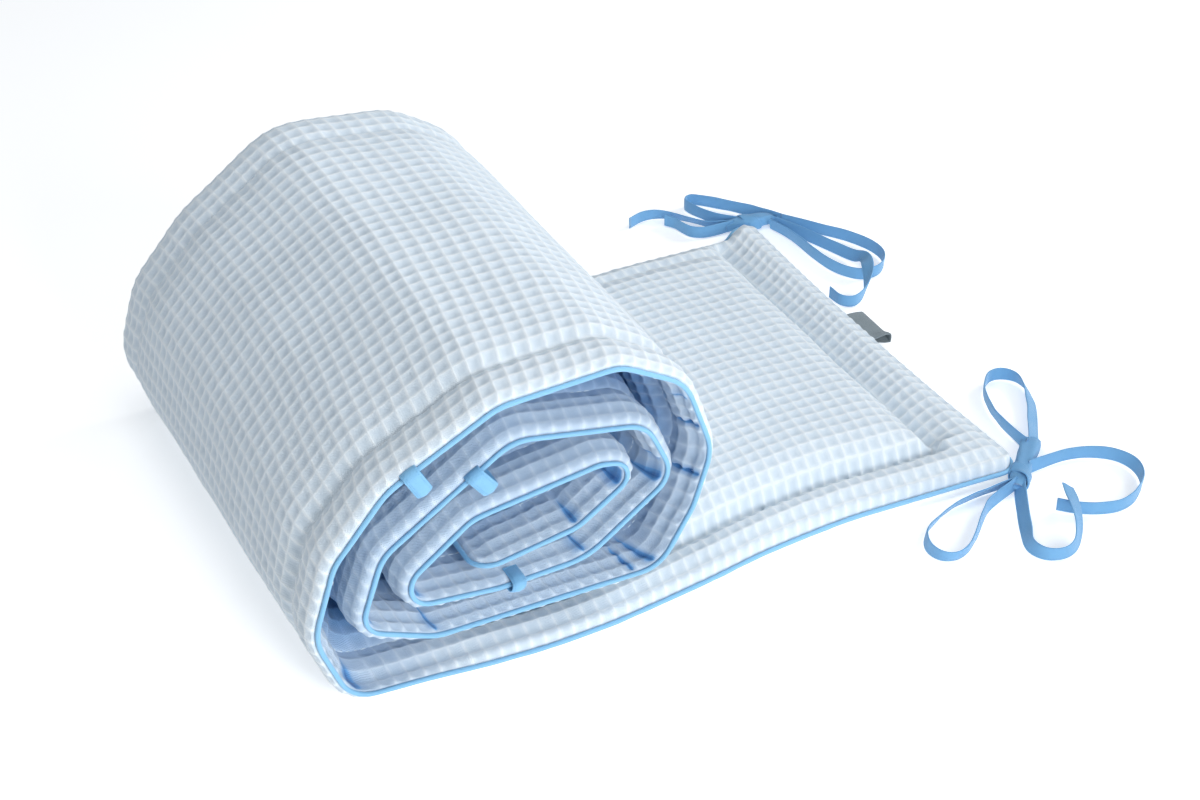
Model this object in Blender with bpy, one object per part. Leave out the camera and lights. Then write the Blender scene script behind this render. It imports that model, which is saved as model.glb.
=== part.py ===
"""Crib bumper: one long padded panel of waffle cloth, edged with piping, wound
into a loose flattened roll whose free tail lies flat, with a tape bow tied at
each corner of the tail, three tape tabs between the wraps and a side label.

Metres, +Z up. +X runs along the free tail, +Y across the panel from the near
edge to the far one. The origin is on the surface it lies on, under the middle.
"""
import bpy
import bmesh
import numpy as np
from math import atan2, ceil, cos, degrees, pi, radians, sin, tan
from mathutils import Vector

MM = 0.001

# Middle of the footprint on the drawing, in millimetres: it becomes the origin.
FOOTPRINT_MIDDLE = (11.2, 1.5)

# Panel, in millimetres.
PANEL_WIDTH = 300.0
CORNER_RADIUS = 12.0
SIDE_BORDER = 28.0        # stitched line to the long edge
END_BORDER = 36.0         # stitched line to the short edge
BODY_HALF = 11.0          # half the thickness of the tail's body
EDGE_HALF = 2.8           # half the thickness at the edge seam
BAND_HALF = 5.5           # half the thickness where the edge band rounds over
BORDER_HALF = 7.0         # half the thickness at the border's crown
STITCH_HALF = 3.6         # half the thickness on the stitched line
SHOULDER_HALF = 9.5       # half the thickness beside the stitched line
EDGE_BAND = 4.0           # edge to where the edge band rounds over
SHOULDER = 8.0            # stitched line to the body's shoulder
CROWN = 30.0              # stitched line to the body's full thickness
EDGE_RISE = 1.8           # how far the seam stands off the surface below it
EDGE_RISE_SPAN = 8.0
FAR_DRAW = 8.5            # how far the far side draws in behind the tail's corner
FAR_DRAW_SPAN = (12.0, 62.0)
END_DRAW = 4.0            # how far the tail's end draws in at its middle
END_DRAW_SPAN = 60.0
ARC_STEP = 17.0           # degrees between two stations in a bend
RUN_STEP = 48.0           # longest straight step

PIPING_RADIUS = 1.8
GAP = 0.3

TAPE_WIDTH = 8.0
TAPE_THICKNESS = 1.0
TAPE_STEP = 9.0

# One row for each fold of the panel's middle layer, from the tail's end to the
# heart of the roll: the corner's place, the radius of its bend, half the
# padded thickness there, how far the strip has wandered towards -Y, and 1
# where the panel lies on the surface.
FOLD_COLUMNS = ("x", "z", "bend", "half", "wander", "settle")
FOLDS = (
    (216.0, 11.0, 0.0, 11.0, -12.0, 1.0),
    (190.0, 11.0, 0.0, 11.0, -13.0, 1.0),
    (110.0, 11.0, 0.0, 11.0, -14.5, 1.0),
    (77.0, 11.0, 0.0, 11.0, -11.5, 1.0),
    (49.0, 10.8, 0.0, 10.8, -8.0, 1.0),
    (20.0, 10.4, 0.0, 10.4, -2.0, 1.0),
    (-15.0, 9.6, 0.0, 9.6, 3.5, 1.0),
    (-43.0, 9.1, 0.0, 9.1, 7.5, 1.0),
    (-80.0, 9.0, 0.0, 9.0, 9.5, 1.0),
    (-114.0, 9.0, 0.0, 9.0, 8.0, 1.0),
    (-140.0, 9.0, 0.0, 9.0, 5.0, 1.0),
    (-178.5, 9.5, 15.0, 9.5, 4.0, 0.9),
    (-193.5, 47.0, 26.0, 9.8, 4.5, 0.8),
    (-186.0, 86.0, 22.0, 10.0, 4.5, 0.0),
    (-156.5, 117.0, 30.0, 10.2, 4.5, 0.5),
    (-100.5, 146.5, 26.0, 10.2, 4.5, 0.5),
    (-39.0, 149.0, 18.0, 10.2, 4.5, 0.75),
    (-6.5, 131.0, 24.0, 10.2, 4.5, 0.75),
    (9.0, 91.0, 26.0, 10.0, 4.5, 0.6),
    (1.5, 60.5, 26.0, 9.2, 4.5, 0.3),
    (-15.5, 28.5, 18.0, 8.7, 4.5, 0.0),
    (-137.0, 28.0, 28.0, 8.7, 4.5, 0.0),
    (-175.5, 44.0, 12.0, 9.0, 4.5, 0.0),
    (-161.5, 83.0, 20.0, 9.6, 4.5, 0.15),
    (-94.0, 127.5, 22.0, 9.6, 4.5, 0.2),
    (-24.5, 116.0, 18.0, 9.4, 4.5, 0.1),
    (-9.5, 83.0, 13.0, 9.2, 4.5, 0.15),
    (-56.0, 48.0, 36.0, 8.4, 4.5, 0.0),
    (-103.0, 45.5, 36.0, 8.2, 4.5, 0.0),
    (-152.5, 50.0, 11.0, 8.4, 4.5, 0.0),
    (-147.0, 67.0, 10.0, 8.6, 4.5, 0.0),
    (-116.0, 90.5, 20.0, 8.8, 4.5, 0.0),
    (-48.5, 101.0, 14.0, 8.8, 4.5, 0.0),
    (-21.5, 95.0, 8.5, 8.2, 4.5, 0.0),
    (-61.0, 68.0, 16.0, 7.6, 4.5, 0.0),
    (-113.5, 58.5, 0.0, 7.0, 4.5, 0.0),
)

# Distances in from a long edge at which the panel's section has a corner.
SIDE_STEPS = (0.0, EDGE_BAND, SIDE_BORDER / 2.0, SIDE_BORDER, SIDE_BORDER + SHOULDER,
              SIDE_BORDER + CROWN, PANEL_WIDTH / 2.0)
# Distances in from a short edge at which a station is set.
END_STEPS = (0.0, 1.5, EDGE_BAND, 8.0, CORNER_RADIUS, 20.0, END_BORDER, END_BORDER + SHOULDER,
             END_BORDER + CROWN)

# Tape strands. The columns are x and y of the tape's lower edge, how far that
# edge is lifted off the surface, and how many degrees the tape leans over from
# standing on its edge.
NEAR_STRANDS = {
    "near_tie_loop_upper": (
        (237.9, -121.1, 0.4, 35.0), (250.0, -103.0, 0.4, 40.0), (259.0, -89.0, 0.4, 35.0),
        (266.0, -74.0, 0.4, 20.0), (267.5, -62.0, 0.4, 5.0), (262.0, -54.5, 0.4, 0.0),
        (253.0, -54.5, 0.4, 0.0), (243.5, -64.0, 0.4, 5.0), (237.0, -79.0, 0.4, 15.0),
        (233.5, -96.0, 0.4, 25.0), (232.3, -117.6, 0.4, 25.0)),
    "near_tie_end_right": (
        (229.0, -139.6, 0.4, 10.0), (239.0, -138.5, 0.4, 0.0), (249.0, -139.0, 0.4, 0.0),
        (261.0, -143.0, 0.4, 0.0), (271.0, -151.0, 0.4, 5.0), (275.0, -163.0, 0.4, 15.0),
        (270.5, -176.0, 0.4, 10.0), (259.0, -186.0, 0.4, 0.0), (247.0, -190.5, 0.4, 0.0),
        (235.5, -189.0, 0.4, 0.0), (224.0, -183.0, 0.4, 0.0), (215.0, -174.5, 0.4, 0.0)),
    "near_tie_end_lower": (
        (204.6, -155.5, 0.4, 45.0), (197.0, -168.0, 0.4, 50.0), (188.0, -185.0, 0.4, 45.0),
        (181.5, -198.0, 0.4, 25.0), (184.0, -208.0, 0.4, 5.0), (193.0, -212.0, 0.4, 0.0),
        (203.0, -208.5, 0.6, 10.0), (210.5, -200.0, 4.0, 30.0), (215.5, -190.5, 8.0, 52.0),
        (219.5, -181.0, 9.6, 62.0), (223.0, -172.0, 9.6, 55.0)),
    "near_tie_loop_lower": (
        (205.6, -147.0, 0.4, 8.0), (189.0, -147.5, 0.4, 8.0), (178.0, -148.5, 0.4, 10.0),
        (165.0, -151.0, 0.4, 20.0), (152.0, -156.5, 0.4, 30.0), (139.0, -164.5, 0.4, 25.0),
        (133.0, -175.0, 0.4, 20.0), (134.5, -185.0, 0.4, 20.0), (142.0, -189.0, 0.4, 20.0),
        (151.0, -186.0, 0.4, 20.0), (162.0, -177.0, 0.4, 30.0), (173.0, -166.5, 0.4, 30.0),
        (184.0, -158.0, 0.4, 20.0), (203.7, -150.1, 0.4, 8.0)),
}
FAR_STRANDS = {
    "far_tie_loop_left": (
        (236.5, 168.1, 0.4, 0.0), (232.0, 175.1, 0.4, 0.0), (222.0, 188.1, 0.4, 0.0),
        (211.0, 201.1, 0.4, 0.0), (203.0, 209.1, 0.4, 0.0), (196.0, 210.6, 0.4, 0.0),
        (194.5, 204.1, 0.4, 0.0), (198.0, 192.1, 0.4, 0.0), (203.0, 181.1, 0.4, 0.0),
        (207.7, 172.3, 0.4, 0.0)),
    "far_tie_end_left": (
        (203.2, 170.1, 0.4, 25.0), (196.0, 176.6, 0.4, 30.0), (190.0, 184.1, 0.4, 35.0),
        (182.0, 194.6, 0.4, 30.0), (172.0, 202.6, 0.4, 15.0), (161.5, 204.1, 0.4, 5.0),
        (150.5, 200.1, 0.4, 0.0)),
    "far_tie_end_short": (
        (205.1, 167.5, 0.4, 0.0), (193.0, 167.8, 0.4, 0.0), (186.0, 168.9, 0.4, 0.0),
        (180.5, 173.1, 0.4, 0.0), (178.0, 180.1, 0.4, 0.0), (176.5, 187.1, 0.4, 0.0),
        (172.5, 193.6, 0.4, 0.0)),
    "far_tie_loop_right": (
        (238.0, 163.3, 0.4, 30.0), (246.0, 152.1, 0.4, 20.0), (256.0, 138.6, 0.4, 5.0),
        (267.0, 123.1, 0.4, 0.0), (274.0, 105.1, 0.4, 5.0), (273.0, 90.6, 0.4, 10.0),
        (263.5, 79.6, 0.4, 5.0), (252.0, 78.1, 0.4, 0.0), (243.5, 85.1, 0.4, 0.0),
        (238.5, 98.1, 0.4, 0.0), (236.5, 114.1, 0.4, 0.0), (236.0, 130.1, 0.4, 0.0),
        (234.5, 145.1, 0.4, 5.0), (230.8, 159.4, 0.4, 10.0)),
    "far_tie_end_right": (
        (233.4, 160.9, 0.4, 8.0), (240.5, 146.0, 0.4, 10.0), (246.5, 130.0, 0.4, 10.0),
        (252.5, 113.0, 0.4, 10.0), (256.5, 99.0, 1.5, 15.0), (257.0, 88.5, 6.5, 45.0),
        (253.0, 78.0, 9.4, 70.0), (247.0, 67.5, 5.5, 40.0), (239.5, 59.0, 1.2, 10.0),
        (229.0, 53.6, 0.4, 0.0), (222.0, 58.1, 0.4, 0.0), (221.0, 69.1, 0.4, 0.0)),
}
# Knots: the corners of each knot's block. The columns are x, y, low and high.
NEAR_KNOT = (
    (204.7, -149.3, 1.2, 6.5), (218.0, -135.1, 1.8, 7.4), (233.7, -118.1, 0.6, 6.8),
    (239.0, -124.5, 0.6, 6.5), (236.0, -120.5, 0.6, 8.2), (226.5, -141.0, 0.6, 7.6),
    (212.5, -156.0, 0.6, 6.8), (203.8, -154.5, 0.6, 6.2),
)
FAR_KNOT = (
    (203.5, 169.6, 0.6, 6.5), (208.8, 166.1, 0.6, 7.5), (216.6, 161.9, 2.5, 7.5),
    (230.0, 159.6, 0.6, 7.5), (237.0, 163.1, 0.6, 6.5), (234.5, 168.1, 0.6, 7.0),
    (222.0, 172.6, 0.6, 8.6), (209.0, 172.6, 0.6, 7.5),
)

# Tabs. The columns are how far along the panel's middle layer the tab leaves
# the seam, its width, how far it reaches across the gap and how far it tucks in.
TABS = {
    "tab_outer_wrap": (530.0, 11.0, 11.5, 17.0),
    "tab_second_wrap": (1042.5, 11.0, 12.4, 17.0),
    "tab_heart": (1262.5, 9.0, 8.7, 14.0),
}
TAB_THICKNESS = 1.0
TAB_TOP = 2.2             # how far a tab stands over the middle of the piping

# Side label, in the seam of the tail's end.
LABEL_LENGTH = 32.0
LABEL_REACH = 12.5
LABEL_THICKNESS = 1.4
LABEL_MIDDLE = 21.0
LABEL_SAG = 1.2

COLOURS = {
    "cloth": (0.66, 0.80, 0.90, 1.0),
    "piping": (0.24, 0.60, 0.90, 1.0),
    "tape": (0.13, 0.36, 0.72, 1.0),
    "tab": (0.45, 0.68, 0.88, 1.0),
    "label": (0.36, 0.43, 0.45, 1.0),
}


def material(name, roughness):
    made = bpy.data.materials.new(name)
    made.use_nodes = True
    shader = made.node_tree.nodes["Principled BSDF"]
    shader.inputs["Base Color"].default_value = COLOURS[name]
    shader.inputs["Roughness"].default_value = roughness
    shader.inputs["Metallic"].default_value = 0.0
    made.diffuse_color = COLOURS[name]
    return made


def add_mesh(name, points, faces, finish):
    """Make an object from points in millimetres, with its faces turned out."""
    mesh = bpy.data.meshes.new(name)
    points = (np.asarray(points, float) - (*FOOTPRINT_MIDDLE, 0.0)) * MM
    mesh.from_pydata([tuple(point) for point in points], [], faces)
    work = bmesh.new()
    work.from_mesh(mesh)
    bmesh.ops.recalc_face_normals(work, faces=work.faces)
    work.to_mesh(mesh)
    work.free()
    mesh.materials.append(finish)
    mesh.shade_smooth()
    mesh.set_sharp_from_angle(angle=radians(50.0))
    made = bpy.data.objects.new(name, mesh)
    bpy.context.scene.collection.objects.link(made)
    return made


def ease(x):
    """0 to 1 with level ends."""
    x = np.clip(x, 0.0, 1.0)
    return x * x * (3.0 - 2.0 * x)


class FoldLine:
    """The panel's middle layer seen from its edge: straight runs joined by arcs."""

    def __init__(self, rows):
        table = {key: np.array([row[i] for row in rows], float)
                 for i, key in enumerate(FOLD_COLUMNS)}
        corners = np.stack([table["x"], table["z"]], axis=1)
        line, marks = [corners[0]], [0]
        for i in range(1, len(rows) - 1):
            back = corners[i - 1] - corners[i]
            ahead = corners[i + 1] - corners[i]
            back, ahead = back / np.linalg.norm(back), ahead / np.linalg.norm(ahead)
            turn = pi - np.arccos(np.clip(back @ ahead, -1.0, 1.0))
            radius = table["bend"][i]
            if radius == 0.0:
                line.append(corners[i])
                marks.append(len(line) - 1)
                continue
            inset = radius * tan(turn / 2.0)
            start, end = corners[i] + back * inset, corners[i] + ahead * inset
            middle = corners[i] + (back + ahead) / np.linalg.norm(back + ahead) \
                * radius / cos(turn / 2.0)
            first, last = start - middle, end - middle
            steps = max(2, ceil(degrees(turn) / ARC_STEP))
            angle = atan2(first[0] * last[1] - first[1] * last[0], first @ last)
            for k in range(steps + 1):
                a = angle * k / steps
                line.append(middle + np.array([first[0] * cos(a) - first[1] * sin(a),
                                               first[0] * sin(a) + first[1] * cos(a)]))
            marks.append(len(line) - 1 - steps // 2)
        line.append(corners[-1])
        marks.append(len(line) - 1)
        self.line = np.array(line)
        steps = np.linalg.norm(np.diff(self.line, axis=0), axis=1)
        self.along = np.concatenate([[0.0], np.cumsum(steps)])
        self.length = self.along[-1]
        self.columns = {key: table[key] for key in ("half", "wander", "settle")}
        self.marks = self.along[marks]
        heading = np.diff(self.line, axis=0) / steps[:, None]
        at_points = np.vstack([heading[:1], heading[:-1] + heading[1:], heading[-1:]])
        self.heading = at_points / np.linalg.norm(at_points, axis=1)[:, None]

    def value(self, key, s):
        return np.interp(s, self.marks, self.columns[key])

    def place(self, s):
        """Point and outward normal at distance s, going straight on past both ends."""
        s = np.asarray(s, float)
        inside = np.clip(s, 0.0, self.length)
        point = np.stack([np.interp(inside, self.along, self.line[:, i]) for i in (0, 1)], -1)
        heading = np.stack([np.interp(inside, self.along, self.heading[:, i])
                            for i in (0, 1)], -1)
        heading /= np.linalg.norm(heading, axis=-1, keepdims=True)
        point = point + heading * (s - inside)[..., None]
        normal = np.stack([-heading[..., 1], heading[..., 0]], -1)
        return point, normal

    def stations(self):
        """Distances at which the panel has a section."""
        found = list(self.along)
        found += list(END_STEPS) + [self.length - step for step in END_STEPS]
        found.sort()
        kept = [found[0]]
        for s in found[1:]:
            if s - kept[-1] > 1.2:
                kept.append(s)
        kept[-1] = self.length
        filled = []
        for s, t in zip(kept[:-1], kept[1:]):
            parts = ceil((t - s) / RUN_STEP)
            filled += [s + (t - s) * k / parts for k in range(parts)]
        return np.array(filled + [kept[-1]])


def edge(line, s, side):
    """Where a long edge lies across the strip at s; side is -1 near and +1 far."""
    end = np.minimum(np.minimum(s, line.length - s), CORNER_RADIUS)
    corner = CORNER_RADIUS - np.sqrt(np.maximum(CORNER_RADIUS ** 2 - (CORNER_RADIUS - end) ** 2, 0.0))
    return side * (PANEL_WIDTH / 2.0 - corner - far_draw(s, side))


def far_draw(s, side):
    first, last = FAR_DRAW_SPAN
    return FAR_DRAW * ease((s - first) / (last - first)) * (side > 0)


def half_thickness(line, s, side, end):
    """Half the padded thickness, side and end being the distances in from the edges."""
    def section(inset, border):
        at = (0.0, EDGE_BAND, border / 2.0, border, border + SHOULDER, border + CROWN)
        half = (EDGE_HALF, BAND_HALF, BORDER_HALF, STITCH_HALF, SHOULDER_HALF, BODY_HALF)
        return np.interp(inset, at, half)

    thinner = np.minimum(section(side, SIDE_BORDER), section(end, END_BORDER))
    return thinner * line.value("half", s) / BODY_HALF


def lay(line, s, v, offset):
    """Point of the panel at s along, v across and offset outward from the middle."""
    point, normal = line.place(s)
    drawn = END_DRAW * (1.0 - np.clip(np.abs(v) / (PANEL_WIDTH / 2.0), 0.0, 1.0) ** 2)
    drawn = drawn * (1.0 - ease(s / END_DRAW_SPAN))
    x = point[..., 0] + normal[..., 0] * offset - drawn
    z = point[..., 1] + normal[..., 1] * offset
    return np.stack([x, v - line.value("wander", s), z], -1)


def seam_offset(line, s):
    """Offset of the middle of the edge seam from the panel's middle layer."""
    settle = line.value("settle", s)
    body = line.value("half", s)
    return settle * (body - EDGE_HALF * body / BODY_HALF - EDGE_RISE)


def padded_panel(line, finish):
    s = line.stations()
    near, far = edge(line, s, -1), edge(line, s, 1)
    inward = np.array(SIDE_STEPS)
    share = 1.0 - inward[::-1] / inward[-1]
    middle = (near + far)[:, None] / 2.0
    across = np.hstack([middle + (near[:, None] - middle) * share[:0:-1],
                        middle + (far[:, None] - middle) * share])
    along = np.repeat(s[:, None], across.shape[1], axis=1)
    side = np.minimum(across - near[:, None], far[:, None] - across)
    end = np.minimum(along, line.length - along)
    body = line.value("half", along)
    thick = half_thickness(line, along, side, end)
    settle = line.value("settle", along)
    rise = EDGE_RISE * np.clip(1.0 - np.minimum(side, end) / EDGE_RISE_SPAN, 0.0, 1.0) ** 2
    down = settle * (body - thick - rise)
    outer = lay(line, along, across, down + thick)
    inner = lay(line, along, across, down - thick)
    rows, cols = across.shape
    points = np.concatenate([outer.reshape(-1, 3), inner.reshape(-1, 3)])
    points[:, 2] = np.maximum(points[:, 2], 0.0)

    def at(layer, i, j):
        return layer * rows * cols + i * cols + j
    faces = []
    for i in range(rows - 1):
        for j in range(cols - 1):
            faces.append((at(0, i, j), at(0, i + 1, j), at(0, i + 1, j + 1), at(0, i, j + 1)))
            faces.append((at(1, i, j), at(1, i, j + 1), at(1, i + 1, j + 1), at(1, i + 1, j)))
        for j in (0, cols - 1):
            faces.append((at(0, i, j), at(1, i, j), at(1, i + 1, j), at(0, i + 1, j)))
    for i in (0, rows - 1):
        for j in range(cols - 1):
            faces.append((at(0, i, j), at(0, i, j + 1), at(1, i, j + 1), at(1, i, j)))
    return add_mesh("padded_panel", points, faces, finish)


def seam_loop(line, reach):
    """Closed path round the strip in (along, across), reach outside its edge."""
    stations = line.stations()
    corner, width = CORNER_RADIUS, PANEL_WIDTH / 2.0
    run = stations[(stations > corner + 2.0) & (stations < line.length - corner - 2.0)]
    turn = np.radians(np.array([0.0, 22.5, 45.0, 67.5, 90.0]))
    radius = corner + reach
    ends = np.linspace(-1.0, 1.0, 9)[1:-1] * (width - corner)
    first = [(corner - radius * cos(a), -(width - corner) - radius * sin(a)) for a in turn]
    near = list(zip(run, edge(line, run, -1) - reach))
    second = [(line.length - corner + radius * sin(a), -(width - corner) - radius * cos(a))
              for a in turn]
    drawn = far_draw(line.length, 1)
    last_end = [(line.length + reach, v - drawn * (v > 0) * v / (width - corner)) for v in ends]
    third = [(line.length - corner + radius * cos(a), (width - corner) + radius * sin(a) - drawn)
             for a in turn]
    far = list(zip(run[::-1], edge(line, run[::-1], 1) + reach))
    fourth = [(corner - radius * sin(a), (width - corner) + radius * cos(a)) for a in turn]
    first_end = [(-reach, v) for v in ends[::-1]]
    return np.array(first + near + second + last_end + third + far + fourth + first_end)


def ring_tube(path, outward, normal, radius, sides):
    """Closed tube round a closed path."""
    angles = np.arange(sides) * 2.0 * pi / sides
    rings = (path[:, None, :] + radius * (np.cos(angles)[None, :, None] * outward[:, None, :]
                                          + np.sin(angles)[None, :, None] * normal[:, None, :]))
    count = len(path)
    faces = []
    for i in range(count):
        k = (i + 1) % count
        for j in range(sides):
            m = (j + 1) % sides
            faces.append((i * sides + j, k * sides + j, k * sides + m, i * sides + m))
    return rings.reshape(-1, 3), faces


def piping(line, finish):
    loop = seam_loop(line, PIPING_RADIUS + GAP)
    s, v = loop[:, 0], loop[:, 1]
    clipped = np.clip(s, 0.0, line.length)
    path = lay(line, s, v, seam_offset(line, clipped))
    _, flat = line.place(clipped)
    normal = np.stack([flat[:, 0], np.zeros(len(s)), flat[:, 1]], -1)
    ahead = np.roll(path, -1, axis=0) - np.roll(path, 1, axis=0)
    ahead /= np.linalg.norm(ahead, axis=1)[:, None]
    normal -= ahead * np.sum(ahead * normal, axis=1)[:, None]
    normal /= np.linalg.norm(normal, axis=1)[:, None]
    outward = np.cross(ahead, normal)
    points, faces = ring_tube(path, outward, normal, PIPING_RADIUS, 6)
    return add_mesh("piping", points, faces, finish)


def smooth_route(rows, step):
    """Points every step along a Catmull-Rom curve through the rows."""
    rows = np.array(rows, float)
    padded = np.vstack([2.0 * rows[0] - rows[1], rows, 2.0 * rows[-1] - rows[-2]])
    fine = []
    for i in range(1, len(padded) - 2):
        a, b, c, d = padded[i - 1:i + 3]
        t = np.linspace(0.0, 1.0, 24, endpoint=False)[:, None]
        fine.append(0.5 * (2.0 * b + (c - a) * t + (2.0 * a - 5.0 * b + 4.0 * c - d) * t ** 2
                           + (3.0 * b - a - 3.0 * c + d) * t ** 3))
    fine = np.vstack(fine + [rows[-1:]])
    gone = np.concatenate([[0.0], np.cumsum(np.linalg.norm(np.diff(fine[:, :2], axis=0), axis=1))])
    count = max(6, int(round(gone[-1] / step)))
    at = np.linspace(0.0, gone[-1], count + 1)
    return np.stack([np.interp(at, gone, fine[:, k]) for k in range(fine.shape[1])], -1)


def tape(name, rows, finish):
    """A flat tape standing on its edge or leaning over along its route."""
    route = smooth_route(rows, TAPE_STEP)
    ahead = np.gradient(route[:, :2], axis=0)
    ahead /= np.linalg.norm(ahead, axis=1)[:, None]
    sideways = np.stack([-ahead[:, 1], ahead[:, 0]], -1)
    lean = np.radians(route[:, 3])
    up = np.stack([sideways[:, 0] * np.sin(lean), sideways[:, 1] * np.sin(lean), np.cos(lean)], -1)
    face = np.stack([sideways[:, 0] * np.cos(lean), sideways[:, 1] * np.cos(lean),
                     -np.sin(lean)], -1)
    height = TAPE_WIDTH / 2.0 * np.cos(lean) + TAPE_THICKNESS / 2.0 * np.sin(lean)
    middle = np.stack([route[:, 0], route[:, 1], route[:, 2] + height], -1)
    wide, thick = TAPE_WIDTH / 2.0, TAPE_THICKNESS / 2.0
    corners = ((wide, thick), (wide, -thick), (-wide, -thick), (-wide, thick))
    points = np.stack([middle + up * w + face * t for w, t in corners], axis=1).reshape(-1, 3)
    count = len(middle)
    faces = [(i * 4 + j, (i + 1) * 4 + j, (i + 1) * 4 + (j + 1) % 4, i * 4 + (j + 1) % 4)
             for i in range(count - 1) for j in range(4)]
    faces += [(0, 1, 2, 3), tuple((count - 1) * 4 + j for j in (3, 2, 1, 0))]
    return add_mesh(name, points, faces, finish)


def knot(name, rows, finish):
    """A knot's block: the hull of its corners."""
    work = bmesh.new()
    for x, y, low, high in rows:
        work.verts.new(Vector((x, y, low)))
        work.verts.new(Vector((x, y, high)))
    made = bmesh.ops.convex_hull(work, input=work.verts)
    loose = [item for item in made["geom_interior"] + made["geom_unused"]
             if isinstance(item, bmesh.types.BMVert)]
    bmesh.ops.delete(work, geom=list(set(loose)), context="VERTS")
    bmesh.ops.triangulate(work, faces=work.faces)
    work.verts.index_update()
    points = [tuple(vert.co) for vert in work.verts]
    faces = [tuple(vert.index for vert in face.verts) for face in work.faces]
    work.free()
    return add_mesh(name, points, faces, finish)


def tab(name, line, row, finish):
    """A tape tab: it leaves the near seam, crosses the gap inwards and tucks under."""
    along, width, drop, tuck = row
    near = edge(line, along, -1)
    front = near - PIPING_RADIUS * 2.0 - GAP * 2.0
    top = seam_offset(line, along) + TAB_TOP
    outline = ((front - TAB_THICKNESS, top), (front, top), (front, -drop + TAB_THICKNESS),
               (near + tuck, -drop + TAB_THICKNESS), (near + tuck, -drop),
               (front - TAB_THICKNESS, -drop))
    points = []
    for s in (along - width / 2.0, along + width / 2.0):
        for across, offset in outline:
            points.append(lay(line, s, np.array(across), offset))
    count = len(outline)
    faces = [tuple(range(count)), tuple(range(2 * count - 1, count - 1, -1))]
    faces += [(i, i + count, (i + 1) % count + count, (i + 1) % count) for i in range(count)]
    made = add_mesh(name, points, faces, finish)
    work = bmesh.new()
    work.from_mesh(made.data)
    bmesh.ops.triangulate(work, faces=work.faces)
    work.to_mesh(made.data)
    work.free()
    return made


def side_label(line, finish):
    """A folded label out of the end seam: over the piping, then drooping a little."""
    lift = PIPING_RADIUS + GAP + LABEL_THICKNESS / 2.0
    seam = seam_offset(line, 0.0)
    sections = []
    for reach, sag in ((GAP, 0.0), (LABEL_REACH * 0.55, 0.0), (LABEL_REACH, LABEL_SAG)):
        for across in (-0.5, 0.5):
            for side in (-0.5, 0.5):
                v = LABEL_MIDDLE + line.value("wander", 0.0) + across * LABEL_LENGTH
                offset = seam - lift + sag + side * LABEL_THICKNESS
                sections.append(lay(line, -reach, np.array(v), offset))
    faces = [(0, 1, 3, 2), (8, 10, 11, 9)]
    for i in (0, 4):
        faces += [(i, i + 4, i + 5, i + 1), (i + 1, i + 5, i + 7, i + 3),
                  (i + 3, i + 7, i + 6, i + 2), (i + 2, i + 6, i + 4, i)]
    return add_mesh("side_label", sections, faces, finish)


def main():
    for item in list(bpy.data.objects):
        bpy.data.objects.remove(item, do_unlink=True)
    cloth = material("cloth", 0.85)
    cord = material("piping", 0.6)
    ribbon = material("tape", 0.55)
    band = material("tab", 0.6)
    woven = material("label", 0.5)
    line = FoldLine(FOLDS)
    padded_panel(line, cloth)
    piping(line, cord)
    knot("near_tie_knot", NEAR_KNOT, ribbon)
    knot("far_tie_knot", FAR_KNOT, ribbon)
    for strands in (NEAR_STRANDS, FAR_STRANDS):
        for name, rows in strands.items():
            tape(name, rows, ribbon)
    for name, row in TABS.items():
        tab(name, line, row, band)
    side_label(line, woven)


main()
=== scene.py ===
import bpy
import numpy as np
from math import pi, radians
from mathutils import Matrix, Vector


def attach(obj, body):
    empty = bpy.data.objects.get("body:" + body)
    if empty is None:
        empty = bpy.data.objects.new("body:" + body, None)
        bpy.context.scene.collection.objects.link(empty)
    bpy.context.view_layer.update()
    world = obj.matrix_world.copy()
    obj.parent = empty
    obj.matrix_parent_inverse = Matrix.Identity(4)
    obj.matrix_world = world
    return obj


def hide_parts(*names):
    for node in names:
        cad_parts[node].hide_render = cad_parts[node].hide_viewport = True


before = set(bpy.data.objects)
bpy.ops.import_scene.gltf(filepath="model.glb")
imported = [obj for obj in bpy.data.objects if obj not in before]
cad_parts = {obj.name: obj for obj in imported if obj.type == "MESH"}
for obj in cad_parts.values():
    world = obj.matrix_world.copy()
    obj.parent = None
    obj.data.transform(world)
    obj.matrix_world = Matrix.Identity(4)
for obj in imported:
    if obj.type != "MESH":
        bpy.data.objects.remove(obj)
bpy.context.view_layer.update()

mm = 0.001
middle = (11.2, 1.5)  # middle of the footprint on the drawing, which is the row's origin
scene = bpy.context.scene


def toRow(points):
    # drawing millimetres to metres in the row frame
    return (np.asarray(points, float) - (middle[0], middle[1], 0)) * mm


def unit(vectors):
    # each vector over its own length
    return vectors / (np.linalg.norm(vectors, axis=-1, keepdims=True) + 1e-12)


def ease(x):
    # 0 to 1 with level ends: 3x^2 - 2x^3
    x = np.clip(x, 0, 1)
    return x * x * (3 - 2 * x)


def bell(x, width):
    # 1 in the middle, falling away on both sides: e^-(x/width)^2
    return np.exp(-(x / width) ** 2)


def unevenness(a, b, size, seed):
    # seven long sine waves in mixed directions, added up; about -1 to 1
    pick = np.random.default_rng(seed)
    angle, phase = pick.uniform(0, 2 * pi, (2, 7))
    length = size * pick.uniform(0.7, 1.6, 7)
    way = a[..., None] * np.cos(angle) + b[..., None] * np.sin(angle)
    return np.sin(way * 2 * pi / length + phase).sum(-1) / 3


def distances(line):
    # how far along the line each of its points lies, straight steps added up
    return np.concatenate([[0], np.cumsum(np.linalg.norm(np.diff(line, axis=0), axis=1))])


def ringAngles(count):
    # even angles once round, the first one not repeated
    return np.arange(count) * 2 * pi / count


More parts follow.
